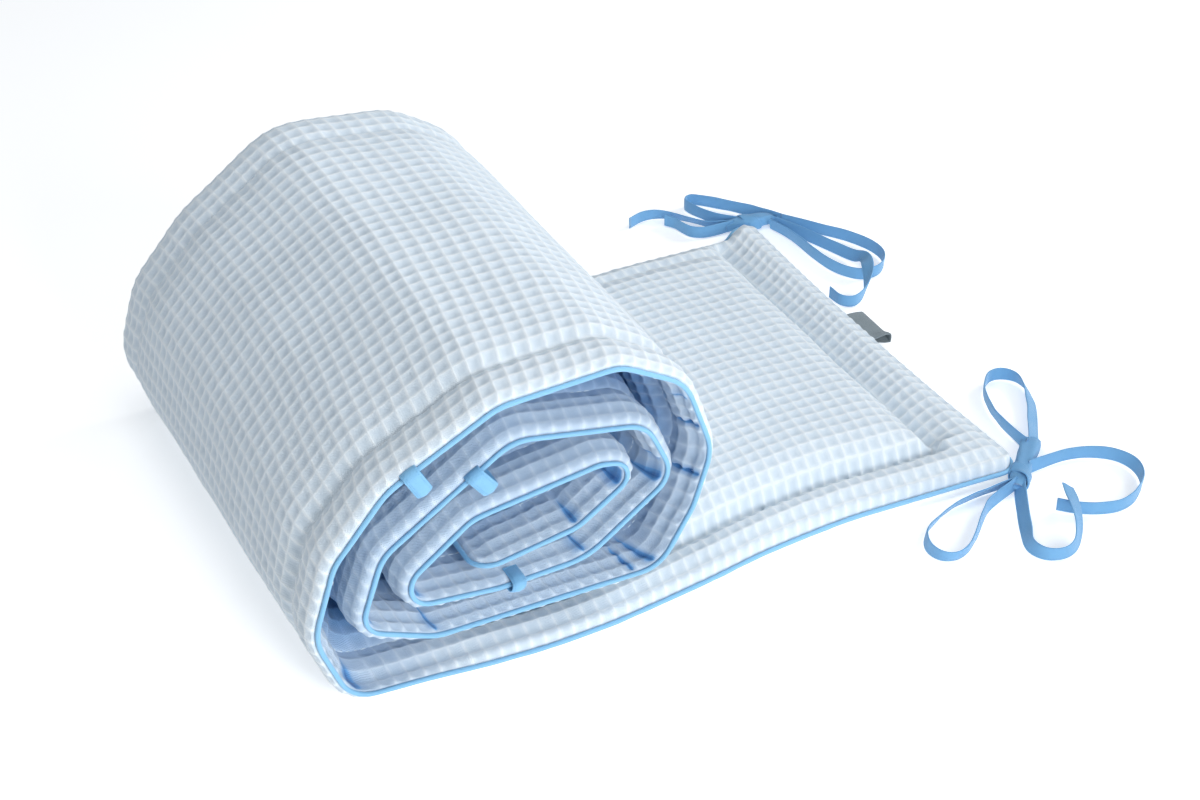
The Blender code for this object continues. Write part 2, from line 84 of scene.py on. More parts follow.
def endCaps(rings, sides):
    # the point numbers of the first ring, turned round, and of the last one
    return [range(sides - 1, -1, -1), range((rings - 1) * sides, rings * sides)]


def gridQuads(rows, columns, ringRows=False, ringColumns=False):
    # four corners of every square of a grid, and the row and column each corner
    # came from before a ringed side was closed on its own start
    i, j = np.meshgrid(np.arange(rows - (not ringRows)), np.arange(columns - (not ringColumns)),
                       indexing="ij")
    steps = ((0, 0), (1, 0), (1, 1), (0, 1))
    spots = np.stack([np.stack([i + a, j + b], -1) for a, b in steps], -2).reshape(-1, 4, 2)
    quads = (spots[..., 0] % rows) * columns + spots[..., 1] % columns
    return quads, spots


def makePiece(name, points, quads, caps=(), uv=None, material=None, creaseAngle=None, paintedShade=None):
    # a mesh object from points in drawing millimetres, turned right side out by its
    # signed volume: the sum of a . (b x c) over its triangles
    points = toRow(points.reshape(-1, 3))
    mesh = bpy.data.meshes.new(name)
    caps = [list(map(int, cap)) for cap in caps]
    mesh.from_pydata(points.tolist(), [], quads.tolist() + caps)
    if uv is not None:
        layer = mesh.uv_layers.new(name="cells")
        loose = np.zeros((sum(len(cap) for cap in caps), 2))
        layer.data.foreach_set("uv", np.vstack([uv.reshape(-1, 2), loose]).ravel())
    # each point's share of painted shade, which the cloth's colour reads
    if paintedShade is not None:
        layer = mesh.attributes.new("paintedShade", "FLOAT", "POINT")
        layer.data.foreach_set("value", paintedShade.ravel())
    mesh.calc_loop_triangles()
    corners = np.empty(len(mesh.loop_triangles) * 3, np.int32)
    mesh.loop_triangles.foreach_get("vertices", corners)
    a, b, c = (points[corners[k::3]] for k in range(3))
    if np.sum(a * np.cross(b, c)) < 0:
        mesh.flip_normals()
    mesh.shade_smooth()
    if creaseAngle:
        mesh.set_sharp_from_angle(angle=radians(creaseAngle))
    mesh.materials.append(material)
    piece = bpy.data.objects.new(name, mesh)
    scene.collection.objects.link(piece)
    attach(piece, "root")
    print(name, len(mesh.loop_triangles), "triangles")
    return piece


view = {
    "place": (-0.4811, -0.9963, 0.7607),  # metres
    "heading": 63.37,  # degrees from +X towards +Y
    "down": 33.54,
    "lens": 72,  # mm, on a sensor this wide
    "sensor": 36,
    "clip": (0.05, 50),
}
floorLook = {"size": 6, "colour": (0.93, 0.93, 0.935, 1), "below": 0.0005, "glow": 0.39,
             "roughness": 0.9, "shine": 0.1}
lights = {
    # name: place, aim, size, watts
    "softboxRight": ((1.9, 0, 1), (0.05, 0, 0.05), 0.8, 20),
    "softboxTop": ((-0.2, 0.05, 0.85), (-0.1, 0, 0.1), 0.5, 1.9),
    "softboxFront": ((0.6, -2.15, 0.95), (0, 0, 0.08), 1.2, 18.5),
    "softboxOpening": ((-0.14, -0.9, 0.36), (-0.09, -0.1, 0.06), 0.25, 2.8),
}
skyLook = {"colour": (0.86, 0.93, 1, 1), "strength": 0.335}


def aimed(thing, place, aim):
    # puts a lamp at its place and turns its -Z axis to the aim
    way = Vector(aim) - Vector(place)
    thing.location = place
    thing.rotation_euler = way.to_track_quat("-Z", "Y").to_euler()


def buildStudio():
    # camera, pale floor, four round softboxes and a faint sky
    camera = bpy.data.objects.new("camera", bpy.data.cameras.new("camera"))
    camera.data.lens = view["lens"]
    camera.data.sensor_width = view["sensor"]
    camera.data.clip_start, camera.data.clip_end = view["clip"]
    camera.location = view["place"]
    camera.rotation_euler = (radians(90 - view["down"]), 0, radians(view["heading"] - 90))
    scene.collection.objects.link(camera)
    scene.camera = camera

    half = floorLook["size"] / 2
    low = -floorLook["below"]
    mesh = bpy.data.meshes.new("floor")
    mesh.from_pydata([(-half, -half, low), (half, -half, low), (half, half, low), (-half, half, low)],
                     [], [(0, 1, 2, 3)])
    paint = bpy.data.materials.new("floorPaint")
    paint.use_nodes = True
    shader = paint.node_tree.nodes["Principled BSDF"]
    shader.inputs["Base Color"].default_value = floorLook["colour"]
    shader.inputs["Roughness"].default_value = floorLook["roughness"]
    shader.inputs["Specular IOR Level"].default_value = floorLook["shine"]
    shader.inputs["Emission Color"].default_value = (1, 1, 1, 1)
    shader.inputs["Emission Strength"].default_value = floorLook["glow"]
    mesh.materials.append(paint)
    floor = bpy.data.objects.new("floor", mesh)
    scene.collection.objects.link(floor)

    for name, (place, aim, size, watts) in lights.items():
        lamp = bpy.data.lights.new(name, "AREA")
        lamp.shape = "DISK"
        lamp.size = size
        lamp.energy = watts
        thing = bpy.data.objects.new(name, lamp)
        aimed(thing, place, aim)
        scene.collection.objects.link(thing)

    world = bpy.data.worlds.new("studio")
    world.use_nodes = True
    sky = world.node_tree.nodes["Background"]
    sky.inputs["Color"].default_value = skyLook["colour"]
    sky.inputs["Strength"].default_value = skyLook["strength"]
    scene.world = world
    scene.view_settings.view_transform = "Standard"
    scene.view_settings.look = "None"


def newMaterial(name, roughness, sheen, sheenRoughness, specular=0.2):
    # a plain cloth material, given back with its node tree and its shader
    made = bpy.data.materials.new(name)
    made.use_nodes = True
    shader = made.node_tree.nodes["Principled BSDF"]
    shader.inputs["Roughness"].default_value = roughness
    shader.inputs["Specular IOR Level"].default_value = specular
    shader.inputs["Sheen Weight"].default_value = sheen
    shader.inputs["Sheen Roughness"].default_value = sheenRoughness
    return made, made.node_tree, shader


def node(tree, kind, inputs=(), **settings):
    # a shader node; inputs maps a socket to a value or to another node's output
    made = tree.nodes.new("ShaderNode" + kind)
    for key, value in settings.items():
        setattr(made, key, value)
    for key, value in dict(inputs).items():
        if isinstance(value, bpy.types.NodeSocket):
            tree.links.new(value, made.inputs[key])
        else:
            made.inputs[key].default_value = value
    return made


def sums(tree, operation, a, b=0, c=0):
    # one Math node; each of a, b and c is a number or another node's output
    return node(tree, "Math", {0: a, 1: b, 2: c}, operation=operation).outputs[0]


def blendColours(tree, share, a, b, way="MIX"):
    # a carried towards b by the share
    return node(tree, "Mix", {0: share, 6: a, 7: b}, data_type="RGBA", blend_type=way).outputs[2]


def clothPlaces(tree):
    # the piece's own map split in two, and its own coordinates
    cells = node(tree, "UVMap", uv_map="cells").outputs[0]
    split = node(tree, "SeparateXYZ", {0: cells}).outputs
    return split, node(tree, "TexCoord").outputs["Object"]


def noise(tree, place, scale, detail):
    # soft grey noise about 0.5, read at a place
    return node(tree, "TexNoise", {"Vector": place, "Scale": scale, "Detail": detail}).outputs["Fac"]


waffleLook = {
    # the ridges' lighter colour is painted highlight and the pits' darker one painted shade, over the
    # cloth's pale blue
    "ridge": (0.875, 0.930, 0.965, 1),
    "slope": (0.730, 0.815, 0.885, 1),
    "pitShade": (0.635, 0.735, 0.825, 1),
    "patch": (0.670, 0.765, 0.850, 1),
    "insideRollShade": (0.200, 0.460, 0.790, 1),  # painted shade, multiplying the colour deep in the roll
    "foldShade": (0.360, 0.470, 0.640, 1),  # and painted shade along a pressed fold
    "stops": (0.09, 0.30, 0.75),  # where ridge, slope and pit lie, from a crest to a cell's middle
    "cornerRound": 0.12,  # how far the slopes' colours round each other at a cell's corners
    "shorter": 1.15,  # how much quicker the colour turns across the panel
    "shift": (300, 0.14),  # scale of the noise that moves the ridges, and how far, in cells
    "mottle": (95, 0.25),  # scale of each noise and its share of the patch colour
    "specks": (900, 0.35),
    "fuzz": (1300, 2.6),  # scale and height against the threads
    "threads": 8,  # threads shown to a cell
    "crossRidge": 0.8,  # height of the ridges along the strip against those across it
    "ridgeBump": 0.00030,  # metres
    "threadBump": 0.00012,
}


def waffleCloth():
    # cells from the cover's own map, one unit to a cell: colour by the distance
    # to the nearest ridge, with painted highlight on the ridges and painted shade in the pits,
    # soft mottling, painted shade deep in the roll and along pressed folds,
    # and rounded ridges and fine threads as bump
    made, tree, shader = newMaterial("waffleCloth", 0.9, 0.25, 0.45)
    split, place = clothPlaces(tree)
    scale, reach = waffleLook["shift"]
    shift = sums(tree, "MULTIPLY_ADD", noise(tree, place, scale, 2), reach, -reach / 2)
    nearU, nearV = (sums(tree, "PINGPONG", sums(tree, "ADD", split[k], shift), 0.5) for k in (0, 1))
    near = sums(tree, "SMOOTH_MIN", nearU, sums(tree, "MULTIPLY", nearV, waffleLook["shorter"]),
                waffleLook["cornerRound"])
    # painted highlight on the ridges, painted shade down in the pits
    cellShadeRamp = node(tree, "ValToRGB", {0: sums(tree, "MULTIPLY", near, 2)})
    cellShadeRamp.color_ramp.interpolation = "EASE"
    stops = cellShadeRamp.color_ramp.elements
    ridgeAt, slopeAt, pitAt = waffleLook["stops"]
    stops[0].color, stops[0].position = waffleLook["ridge"], ridgeAt
    stops[1].color, stops[1].position = waffleLook["pitShade"], pitAt
    stops.new(slopeAt).color = waffleLook["slope"]
    scale, part = waffleLook["mottle"]
    mottle = sums(tree, "MULTIPLY", noise(tree, place, scale, 3), part)
    scale, part = waffleLook["specks"]
    share = sums(tree, "MULTIPLY_ADD", noise(tree, place, scale, 2), part, mottle)
    shade = blendColours(tree, share, cellShadeRamp.outputs[0], waffleLook["patch"])
    # each point's share of painted shade: up to 1 deep in the roll, up to 2 along a pressed fold
    paintedShade = node(tree, "Attribute", attribute_name="paintedShade").outputs["Fac"]
    shade = blendColours(tree, paintedShade, shade, waffleLook["insideRollShade"], "MULTIPLY")
    # the share over 1 darkens the pressed folds with painted shade
    foldShade = sums(tree, "SUBTRACT", paintedShade, 1)
    shade = blendColours(tree, foldShade, shade, waffleLook["foldShade"], "MULTIPLY")
    tree.links.new(shade, shader.inputs["Base Color"])
    slopes = (sums(tree, "SUBTRACT", 1, sums(tree, "MULTIPLY", x, 2)) for x in (nearU, nearV))
    ridgeU, ridgeV = (sums(tree, "POWER", slope, 2) for slope in slopes)
    ridge = sums(tree, "ADD", ridgeU, sums(tree, "MULTIPLY", ridgeV, waffleLook["crossRidge"]))
    tallBump = node(tree, "Bump", {"Height": ridge, "Distance": waffleLook["ridgeBump"],
                                   "Strength": 1})
    turns = waffleLook["threads"] * 2 * pi
    threadU, threadV = (sums(tree, "SINE", sums(tree, "MULTIPLY", split[k], turns)) for k in (0, 1))
    scale, tall = waffleLook["fuzz"]
    fine = sums(tree, "MULTIPLY_ADD", noise(tree, place, scale, 3), tall,
                sums(tree, "MULTIPLY", threadU, threadV))
    fineBump = node(tree, "Bump", {"Height": fine, "Distance": waffleLook["threadBump"], "Strength": 0.9,
                                   "Normal": tallBump.outputs[0]})
    tree.links.new(fineBump.outputs[0], shader.inputs["Normal"])
    return made


tapeLook = {
    "weave": 0.10,  # share of the deeper colour in the weave's hollows
    "mottle": (160, 0.45),  # scale and share of the deeper colour
    "fuzz": (900, 1.6),  # scale and height against the weave
    "bump": 0.00010,  # metres
    "lineHalf": 0.22,  # mm, half the width of a stitched line
    "dash": (1.3, 1),  # mm, half a stitch with its gap, and half a stitch
    "lineShade": 0.55,
    "lineDepth": 2,
}


wovenCloths = {
    # colour, deeper colour, mm from the edge to each stitched line, mm to a thread along and across
    "pipingCloth": ((0.262, 0.545, 0.800, 1), (0.185, 0.450, 0.745, 1), (), (0.9, 0.9)),
    "tapeCloth": ((0.168, 0.395, 0.660, 1), (0.105, 0.300, 0.580, 1), (1.3,), (0.9, 0.9)),
    "tabCloth": ((0.235, 0.505, 0.760, 1), (0.150, 0.400, 0.690, 1), (1.2, 2.2, 8.6), (0.9, 0.9)),
    "labelWeave": ((0.235, 0.285, 0.315, 1), (0.150, 0.195, 0.220, 1), (), (0.5, 1.1)),
}


def wovenTape(name, colour, deeper, stitched, threads):
    # plain weave on the piece's own map in millimetres, u along and v across:
    # sine waves both ways multiplied, with a sunk line of thread at each place given
    made, tree, shader = newMaterial(name, 0.62, 0.3, 0.35, 0.3)
    split, place = clothPlaces(tree)
    waves = (sums(tree, "SINE", sums(tree, "MULTIPLY", split[k], 2 * pi / threads[k]))
             for k in (0, 1))
    weave = sums(tree, "MULTIPLY", *waves)
    scale, tall = tapeLook["fuzz"]
    height = sums(tree, "MULTIPLY_ADD", noise(tree, place, scale, 4), tall, weave)
    scale, part = tapeLook["mottle"]
    mottle = sums(tree, "MULTIPLY", noise(tree, place, scale, 3), part)
    share = sums(tree, "MULTIPLY_ADD", weave, tapeLook["weave"], mottle)
    shade = blendColours(tree, share, colour, deeper)
    for lineAt in stitched:
        fromEdge = sums(tree, "ABSOLUTE", sums(tree, "SUBTRACT", split[1], lineAt))
        line = sums(tree, "LESS_THAN", fromEdge, tapeLook["lineHalf"])
        reach, shown = tapeLook["dash"]
        dash = sums(tree, "LESS_THAN", sums(tree, "PINGPONG", split[0], reach), shown)
        thread = sums(tree, "MULTIPLY", sums(tree, "MULTIPLY", line, dash), tapeLook["lineShade"])
        shade = blendColours(tree, thread, shade, deeper)
        height = sums(tree, "MULTIPLY_ADD", line, -tapeLook["lineDepth"], height)
    tree.links.new(shade, shader.inputs["Base Color"])
    relief = node(tree, "Bump", {"Height": height, "Distance": tapeLook["bump"], "Strength": 0.8})
    tree.links.new(relief.outputs[0], shader.inputs["Normal"])
    return made


threadLook = {"light": (0.78, 0.87, 0.94, 1), "dark": (0.66, 0.78, 0.88, 1), "twist": 1800}


def threadMaterial():
    # two pale blues mixed by a fine noise, for the twist
    made, tree, shader = newMaterial("sewingThread", 0.6, 0.2, 0.4)
    place = node(tree, "TexCoord").outputs["Object"]
    shade = blendColours(tree, noise(tree, place, threadLook["twist"], 2), threadLook["light"],
                         threadLook["dark"])
    tree.links.new(shade, shader.inputs["Base Color"])
    return made


print("studio")
buildStudio()
clothMaterial = waffleCloth()
pipingMaterial, tapeMaterial, tabMaterial, labelMaterial = (
    wovenTape(name, *row) for name, row in wovenCloths.items())
sewing = threadMaterial()


tapeSize = {
    "width": 8,
    "thickness": 0.95,
    "lift": 0.4,  # mm, the lower edge above the floor
    "step": 1.8,
    "sides": 20,
    "sway": (3, 34, 12),  # degrees the lean wavers, mm to a wave, and mm still at each end
    "ripple": (0.10, 15, 4),  # mm the face wavers, mm to a wave, and how much faster across
    "corners": (0.32, 0.55),  # powers of the section's cosine and sine
}

# x and y of the tape's lower edge, how many degrees the tape leans over from
# standing on its edge, and the edge's height where it isn't on the floor
tieRoutes = {
    "near_tie_loop_upper": (
        (236, -124, 45), (249.5, -103.5, 50), (259, -89, 48), (266, -74, 36), (267.5, -62, 10),
        (262, -54.5, 0), (253, -54.5, 0), (243.5, -64, 0), (237, -79, -6), (233.5, -96, -6),
        (232.8, -121, 8)),
    "near_tie_end_right": (
        (221.5, -139.6, 10), (230, -139, 8), (239, -138.5, 0), (249, -139, 0), (261, -143, 0),
        (271, -151, 5), (275, -163, 15), (270.5, -176, 10), (259, -186, 0), (247, -190.5, 0),
        (235.5, -189, 0), (224, -183, 0), (215, -174.5, 0)),
    "near_tie_end_lower": (
        (208, -150.5, 45), (197.5, -168, 50), (188, -185, 45), (181.5, -198, 25), (184, -208, 5),
        (193, -212, 0), (203, -208.5, 10, 0.6), (210.5, -200, 30, 4), (215.5, -190.5, 52, 8),
        (219.5, -181, 62, 9.6), (223, -172, 55, 9.6)),
    "near_tie_loop_lower": (
        (208, -146.5, 20), (189, -147.5, 28), (178, -148.5, 28), (165, -151, 28),
        (152, -156.5, 26), (139, -164.5, 12), (133, -175, 4), (134.5, -185, -8), (142, -189, -16),
        (151, -186, -12), (162, -177, 0), (173, -166.5, 4), (184, -158, 6), (206.5, -149, 8)),
    "far_tie_loop_left": (
        (240.5, 161, 0), (236.5, 168.1, 0), (232, 175.1, 0), (222, 188.1, 0), (211, 201.1, 0),
        (203.2, 208.5, 0), (199.3, 210.1, 0), (195.3, 208.3, 0), (193.9, 203.6, 0),
        (197.4, 192.1, 0), (203, 181.1, 0), (213.5, 170.5, 0)),
    "far_tie_end_left": (
        (209, 169, 15), (196, 176.6, 30), (190, 184.1, 35), (182, 194.6, 30), (172, 202.6, 15),
        (161.5, 204.1, 5), (150.5, 200.1, 0)),
    "far_tie_end_short": (
        (209, 168, 0), (193, 167.8, 0), (186, 168.9, 0), (180.5, 173.1, 0), (178, 180.1, 0),
        (176.5, 187.1, 0), (172.5, 193.6, 0)),
    "far_tie_loop_right": (
        (238, 163.3, 30), (246, 152.1, 20), (256, 138.6, 5), (267, 123.1, 0), (274, 105.1, 5),
        (273, 90.6, 10), (263.5, 79.6, 5), (252, 78.1, 0), (243.5, 85.1, 0), (238.5, 98.1, 0),
        (236.5, 114.1, 0), (236, 130.1, 0), (234.5, 145.1, 5), (230.8, 159.4, 10)),
    "far_tie_end_right": (
        (233.4, 160.9, 8), (240.5, 146, 10), (246.5, 130, 10), (252.5, 113, 10),
        (256.5, 99, 15, 1.5), (257, 88.5, 45, 6.5), (253, 78, 70, 9.4), (247, 67.5, 40, 5.5),
        (239.5, 59, 10, 1.2), (229, 53.6, 0), (222, 58.1, 0), (221, 69.1, 0)),
}


def smoothRoute(rows, step):
    # Catmull-Rom curve through the rows, read again at even distances along it
    rows = np.array(rows, float)
    held = np.vstack([2 * rows[0] - rows[1], rows, 2 * rows[-1] - rows[-2]])
    t = np.linspace(0, len(rows) - 1, 40 * len(rows))
    i = np.minimum(t.astype(int), len(rows) - 2)
    f = (t - i)[:, None]
    a, b, c, d = held[i], held[i + 1], held[i + 2], held[i + 3]
    fine = 0.5 * (2 * b + (c - a) * f + (2 * a - 5 * b + 4 * c - d) * f ** 2
                  + (3 * b - a - 3 * c + d) * f ** 3)
    gone = distances(fine[:, :3])
    at = np.linspace(0, gone[-1], int(round(gone[-1] / step)) + 1)
    return np.stack([np.interp(at, gone, fine[:, k]) for k in range(rows.shape[1])], -1)


def tapeSection(width, thickness, sides):
    # flat oval with nearly square ends: each side is a power of sine and cosine
    turn = (np.arange(sides) + 0.5) * 2 * pi / sides
    flat, blunt = tapeSize["corners"]
    wide = width / 2 * np.sign(np.cos(turn)) * np.abs(np.cos(turn)) ** flat
    thick = thickness / 2 * np.sign(np.sin(turn)) * np.abs(np.sin(turn)) ** blunt
    return wide, thick


def tapeMap(spots, step, wide, width):
    # the map in mm: along the route, and across the tape from its edge
    across = np.append(wide, wide[0]) + width / 2
    return np.stack([spots[..., 0] * step, across[spots[..., 1]]], -1)


def tapeStrand(name, rows, seed):
    # the tape's section carried along its route, turned by the lean at each point
    step, width, thickness = tapeSize["step"], tapeSize["width"], tapeSize["thickness"]
    lifted = [(x, y, *(lift or [tapeSize["lift"]]), lean) for x, y, lean, *lift in rows]
    route = smoothRoute(lifted, step)
    along = np.arange(len(route)) * step
    ahead = np.gradient(route[:, :2], axis=0)
    sideways = unit(np.stack([-ahead[:, 1], ahead[:, 0]], -1))
    sway, reach, still = tapeSize["sway"]
    quiet = ease(along / still) * ease((along[-1] - along) / still)
    lean = np.radians(route[:, 3] + sway * quiet * unevenness(along, along, reach, seed))
    up = np.stack([sideways[:, 0] * np.sin(lean), sideways[:, 1] * np.sin(lean), np.cos(lean)], -1)
    face = np.stack([sideways[:, 0] * np.cos(lean), sideways[:, 1] * np.cos(lean), -np.sin(lean)], -1)
    height = width / 2 * np.cos(lean) + thickness / 2 * np.abs(np.sin(lean))
    line = np.stack([route[:, 0], route[:, 1], route[:, 2] + height], -1)
    wide, thick = tapeSection(width, thickness, tapeSize["sides"])
    size, reach, faster = tapeSize["ripple"]
    ripple = size * unevenness(along[:, None], wide[None] * faster, reach, seed)
    points = line[:, None] + up[:, None] * wide[None, :, None] \
        + face[:, None] * (thick[None, :] + ripple)[..., None]
    quads, spots = gridQuads(len(line), len(wide), ringColumns=True)
    piece = makePiece(name + "_tape", points, quads, endCaps(len(line), len(wide)),
                      tapeMap(spots, step, wide, width), tapeMaterial)
    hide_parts(name)
    return piece, toRow(line)


knots = {
    "near_tie_knot": {
        "from": (205, -151.5), "to": (238.4, -118.2), "crown": 4, "seed": 90,
        # share of the way, half the width, half the height
        "body": ((0, 2.8, 1.9), (0.10, 4.6, 2.9), (0.26, 5.3, 3.5), (0.4, 4.9, 3.3), (0.7, 5.3, 3),
                 (0.92, 5.8, 2.7), (1, 4.8, 2)),
        "band": {"at": 0.22, "wide": 5.8, "high": 3.9, "skew": 4.4, "width": 7.6},
    },
    "far_tie_knot": {
        "from": (203.6, 169.8), "to": (236.4, 165.4), "crown": 4.2, "seed": 95,
        "body": ((0, 2.4, 2.2), (0.15, 4, 3.3), (0.45, 5.4, 4), (0.7, 5, 3.8), (0.9, 4, 3.2),
                 (1, 2.6, 2.2)),
        "band": {"at": 0.50, "wide": 5.6, "high": 4.2, "skew": -3, "width": 7.8},
    },
}


knotDetail = {
    "rings": 41, "sides": 36,  # of the body
    "bandRings": 56, "bandSides": 18, "bandThickness": 1.1,
    "pleats": (5, 0.05),  # pleats round the body, and how deep, of its half width
    "crumple": (0.03, 12),
    "smoothing": (-0.03, 0, 0.03),  # where a width is read round its place, then averaged
    "cup": 0.35,  # mm the band's edges bend in at half a tape's width
    "lowest": (0.3, 0.2),  # mm above the floor, body and band
}


def roundedSquare(turn):
    # how far out a rounded square reaches in each direction: (|cos|^3 + |sin|^3)^(-1/3)
    return (np.abs(np.cos(turn)) ** 3 + np.abs(np.sin(turn)) ** 3) ** (-1 / 3)


def knotAxes(shape):
    # its two ends on the floor, and the directions along it and beside it
    start, stop = np.array(shape["from"]), np.array(shape["to"])
    ahead = unit(stop - start)
    return start, stop, np.array([ahead[0], ahead[1], 0]), np.array([-ahead[1], ahead[0], 0])


def knotBody(name, shape):
    # rounded-square rings of the given widths and heights along the knot, with
    # shallow pleats running its length
    start, stop, _, beside = knotAxes(shape)
    table = np.array(shape["body"])
    t = np.linspace(0, 1, knotDetail["rings"])
    wide, high = (np.interp(t[:, None] + knotDetail["smoothing"], table[:, 0], table[:, k]).mean(1)
                  for k in (1, 2))
    turn = ringAngles(knotDetail["sides"])
    square = roundedSquare(turn)
    count, deep = knotDetail["pleats"]
    rough, size = knotDetail["crumple"]
    pleat = 1 + deep * np.sin(count * turn[None] + count * t[:, None]) \
        + rough * unevenness(t[:, None] * 40, 6 * turn[None], size, shape["seed"])
    middleLine = np.append(start, shape["crown"]) + np.append(stop - start, 0) * t[:, None]
    rings = middleLine[:, None] + beside * (wide[:, None] * square * np.cos(turn) * pleat)[..., None]
    rings = rings + np.array([0, 0, 1]) * (high[:, None] * square * np.sin(turn) * pleat)[..., None]
    rings[..., 2] = np.clip(rings[..., 2], knotDetail["lowest"][0], None)
    quads, spots = gridQuads(len(t), len(turn), ringColumns=True)
    length = np.linalg.norm(stop - start)
    # 0.8 mm of tape to a side round the body, begun clear of the stitched line
    uv = np.stack([spots[..., 0] * length / (len(t) - 1), spots[..., 1] * 0.8 + 3], -1)
    piece = makePiece(name + "_body", rings, quads, endCaps(len(t), len(turn)), uv,
                      tapeMaterial)
    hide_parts(name)
    return piece


def knotBand(name, shape):
    # the tape's own section carried once round the knot's body, a little askew
    start, stop, ahead, beside = knotAxes(shape)
    band = shape["band"]
    turn = ringAngles(knotDetail["bandRings"])
    square = roundedSquare(turn)
    up = np.array([0, 0, 1])
    centre = np.append(start + (stop - start) * band["at"], shape["crown"])
    out = beside * (band["wide"] * square * np.cos(turn))[:, None] \
        + up * (band["high"] * square * np.sin(turn))[:, None]
    path = centre + out + ahead * (band["skew"] * np.cos(turn - 0.6))[:, None]
    way = unit(np.roll(path, -1, axis=0) - np.roll(path, 1, axis=0))
    flat = unit(out)
    wideWay = unit(np.cross(way, flat))
    wide, thick = tapeSection(band["width"], knotDetail["bandThickness"], knotDetail["bandSides"])
    cup = knotDetail["cup"] * (wide / (tapeSize["width"] / 2)) ** 2
    rings = path[:, None] + wideWay[:, None] * wide[None, :, None] \
        + flat[:, None] * (thick - cup)[None, :, None]
    rings[..., 2] = np.clip(rings[..., 2], knotDetail["lowest"][1], None)
    quads, spots = gridQuads(len(turn), len(wide), True, True)
    uv = tapeMap(spots, 0.75, wide, tapeSize["width"])
    piece = makePiece(name + "_band", rings, quads, (), uv, tapeMaterial)
    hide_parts(name)
    return piece


print("ties")
strands, lines = {}, {}
for number, (name, rows) in enumerate(tieRoutes.items()):
    strands[name], lines[name] = tapeStrand(name, rows, 70 + number)
knotPieces = {name: [knotBody(name, shape), knotBand(name, shape)] for name, shape in knots.items()}


# One row for each fold of the panel's middle layer, from the tail's end to the
# heart of the roll: the corner's place, the radius of its bend, half the padded
# thickness there, how far the strip has wandered towards -Y, and how far thin
# places have settled outwards, 1 where the panel lies on the surface
folds = (
    (216, 11, 0, 11, -12, 1),
    (190, 11, 0, 11, -13, 1),
    (110, 11, 0, 11, -14.5, 1),
    (77, 11, 0, 11, -11.5, 1),
    (49, 10.8, 0, 10.8, -8, 1),
    (20, 10.4, 0, 10.4, -2, 1),
    (-15, 9.6, 0, 9.6, 3.5, 1),
    (-43, 9.1, 0, 9.1, 7.5, 1),
    (-80, 9, 0, 9, 9.5, 1),
    (-114, 9, 0, 9, 8, 1),
    (-140, 9, 0, 9, 5, 1),
    (-178.5, 9.5, 15, 9.5, 4, 0.9),
    (-193.5, 47, 26, 9.8, 4.5, 0.8),
    (-186, 86, 22, 10, 4.5, 0),
    (-156.5, 117, 30, 10.2, 4.5, 0.5),
    (-100.5, 146.5, 26, 10.2, 4.5, 0.5),
    (-39, 149, 18, 10.2, 4.5, 0.75),
    (-6.5, 131, 24, 10.2, 4.5, 0.75),
    (9, 91, 26, 10, 4.5, 0.6),
    (1.5, 60.5, 26, 9.2, 4.5, 0.3),
    (-15.5, 28.5, 18, 8.7, 4.5, 0),
    (-137, 28, 28, 8.7, 4.5, 0),
    (-175.5, 44, 12, 9, 4.5, 0),
    (-161.5, 83, 20, 9.6, 4.5, 0.15),
    (-94, 127.5, 22, 9.6, 4.5, 0.2),
    (-24.5, 116, 18, 9.4, 4.5, 0.1),
    (-9.5, 83, 13, 9.2, 4.5, 0.15),
    (-56, 48, 36, 8.4, 4.5, 0),
    (-103, 45.5, 36, 8.2, 4.5, 0),
    (-152.5, 50, 11, 8.4, 4.5, 0),
    (-147, 67, 10, 8.6, 4.5, 0),
    (-116, 90.5, 20, 8.8, 4.5, 0),
    (-48.5, 101, 14, 8.8, 4.5, 0),
    (-21.5, 95, 8.5, 8.2, 4.5, 0),
    (-61, 68, 16, 7.6, 4.5, 0),
    (-113.5, 58.5, 0, 7, 4.5, 0),
)

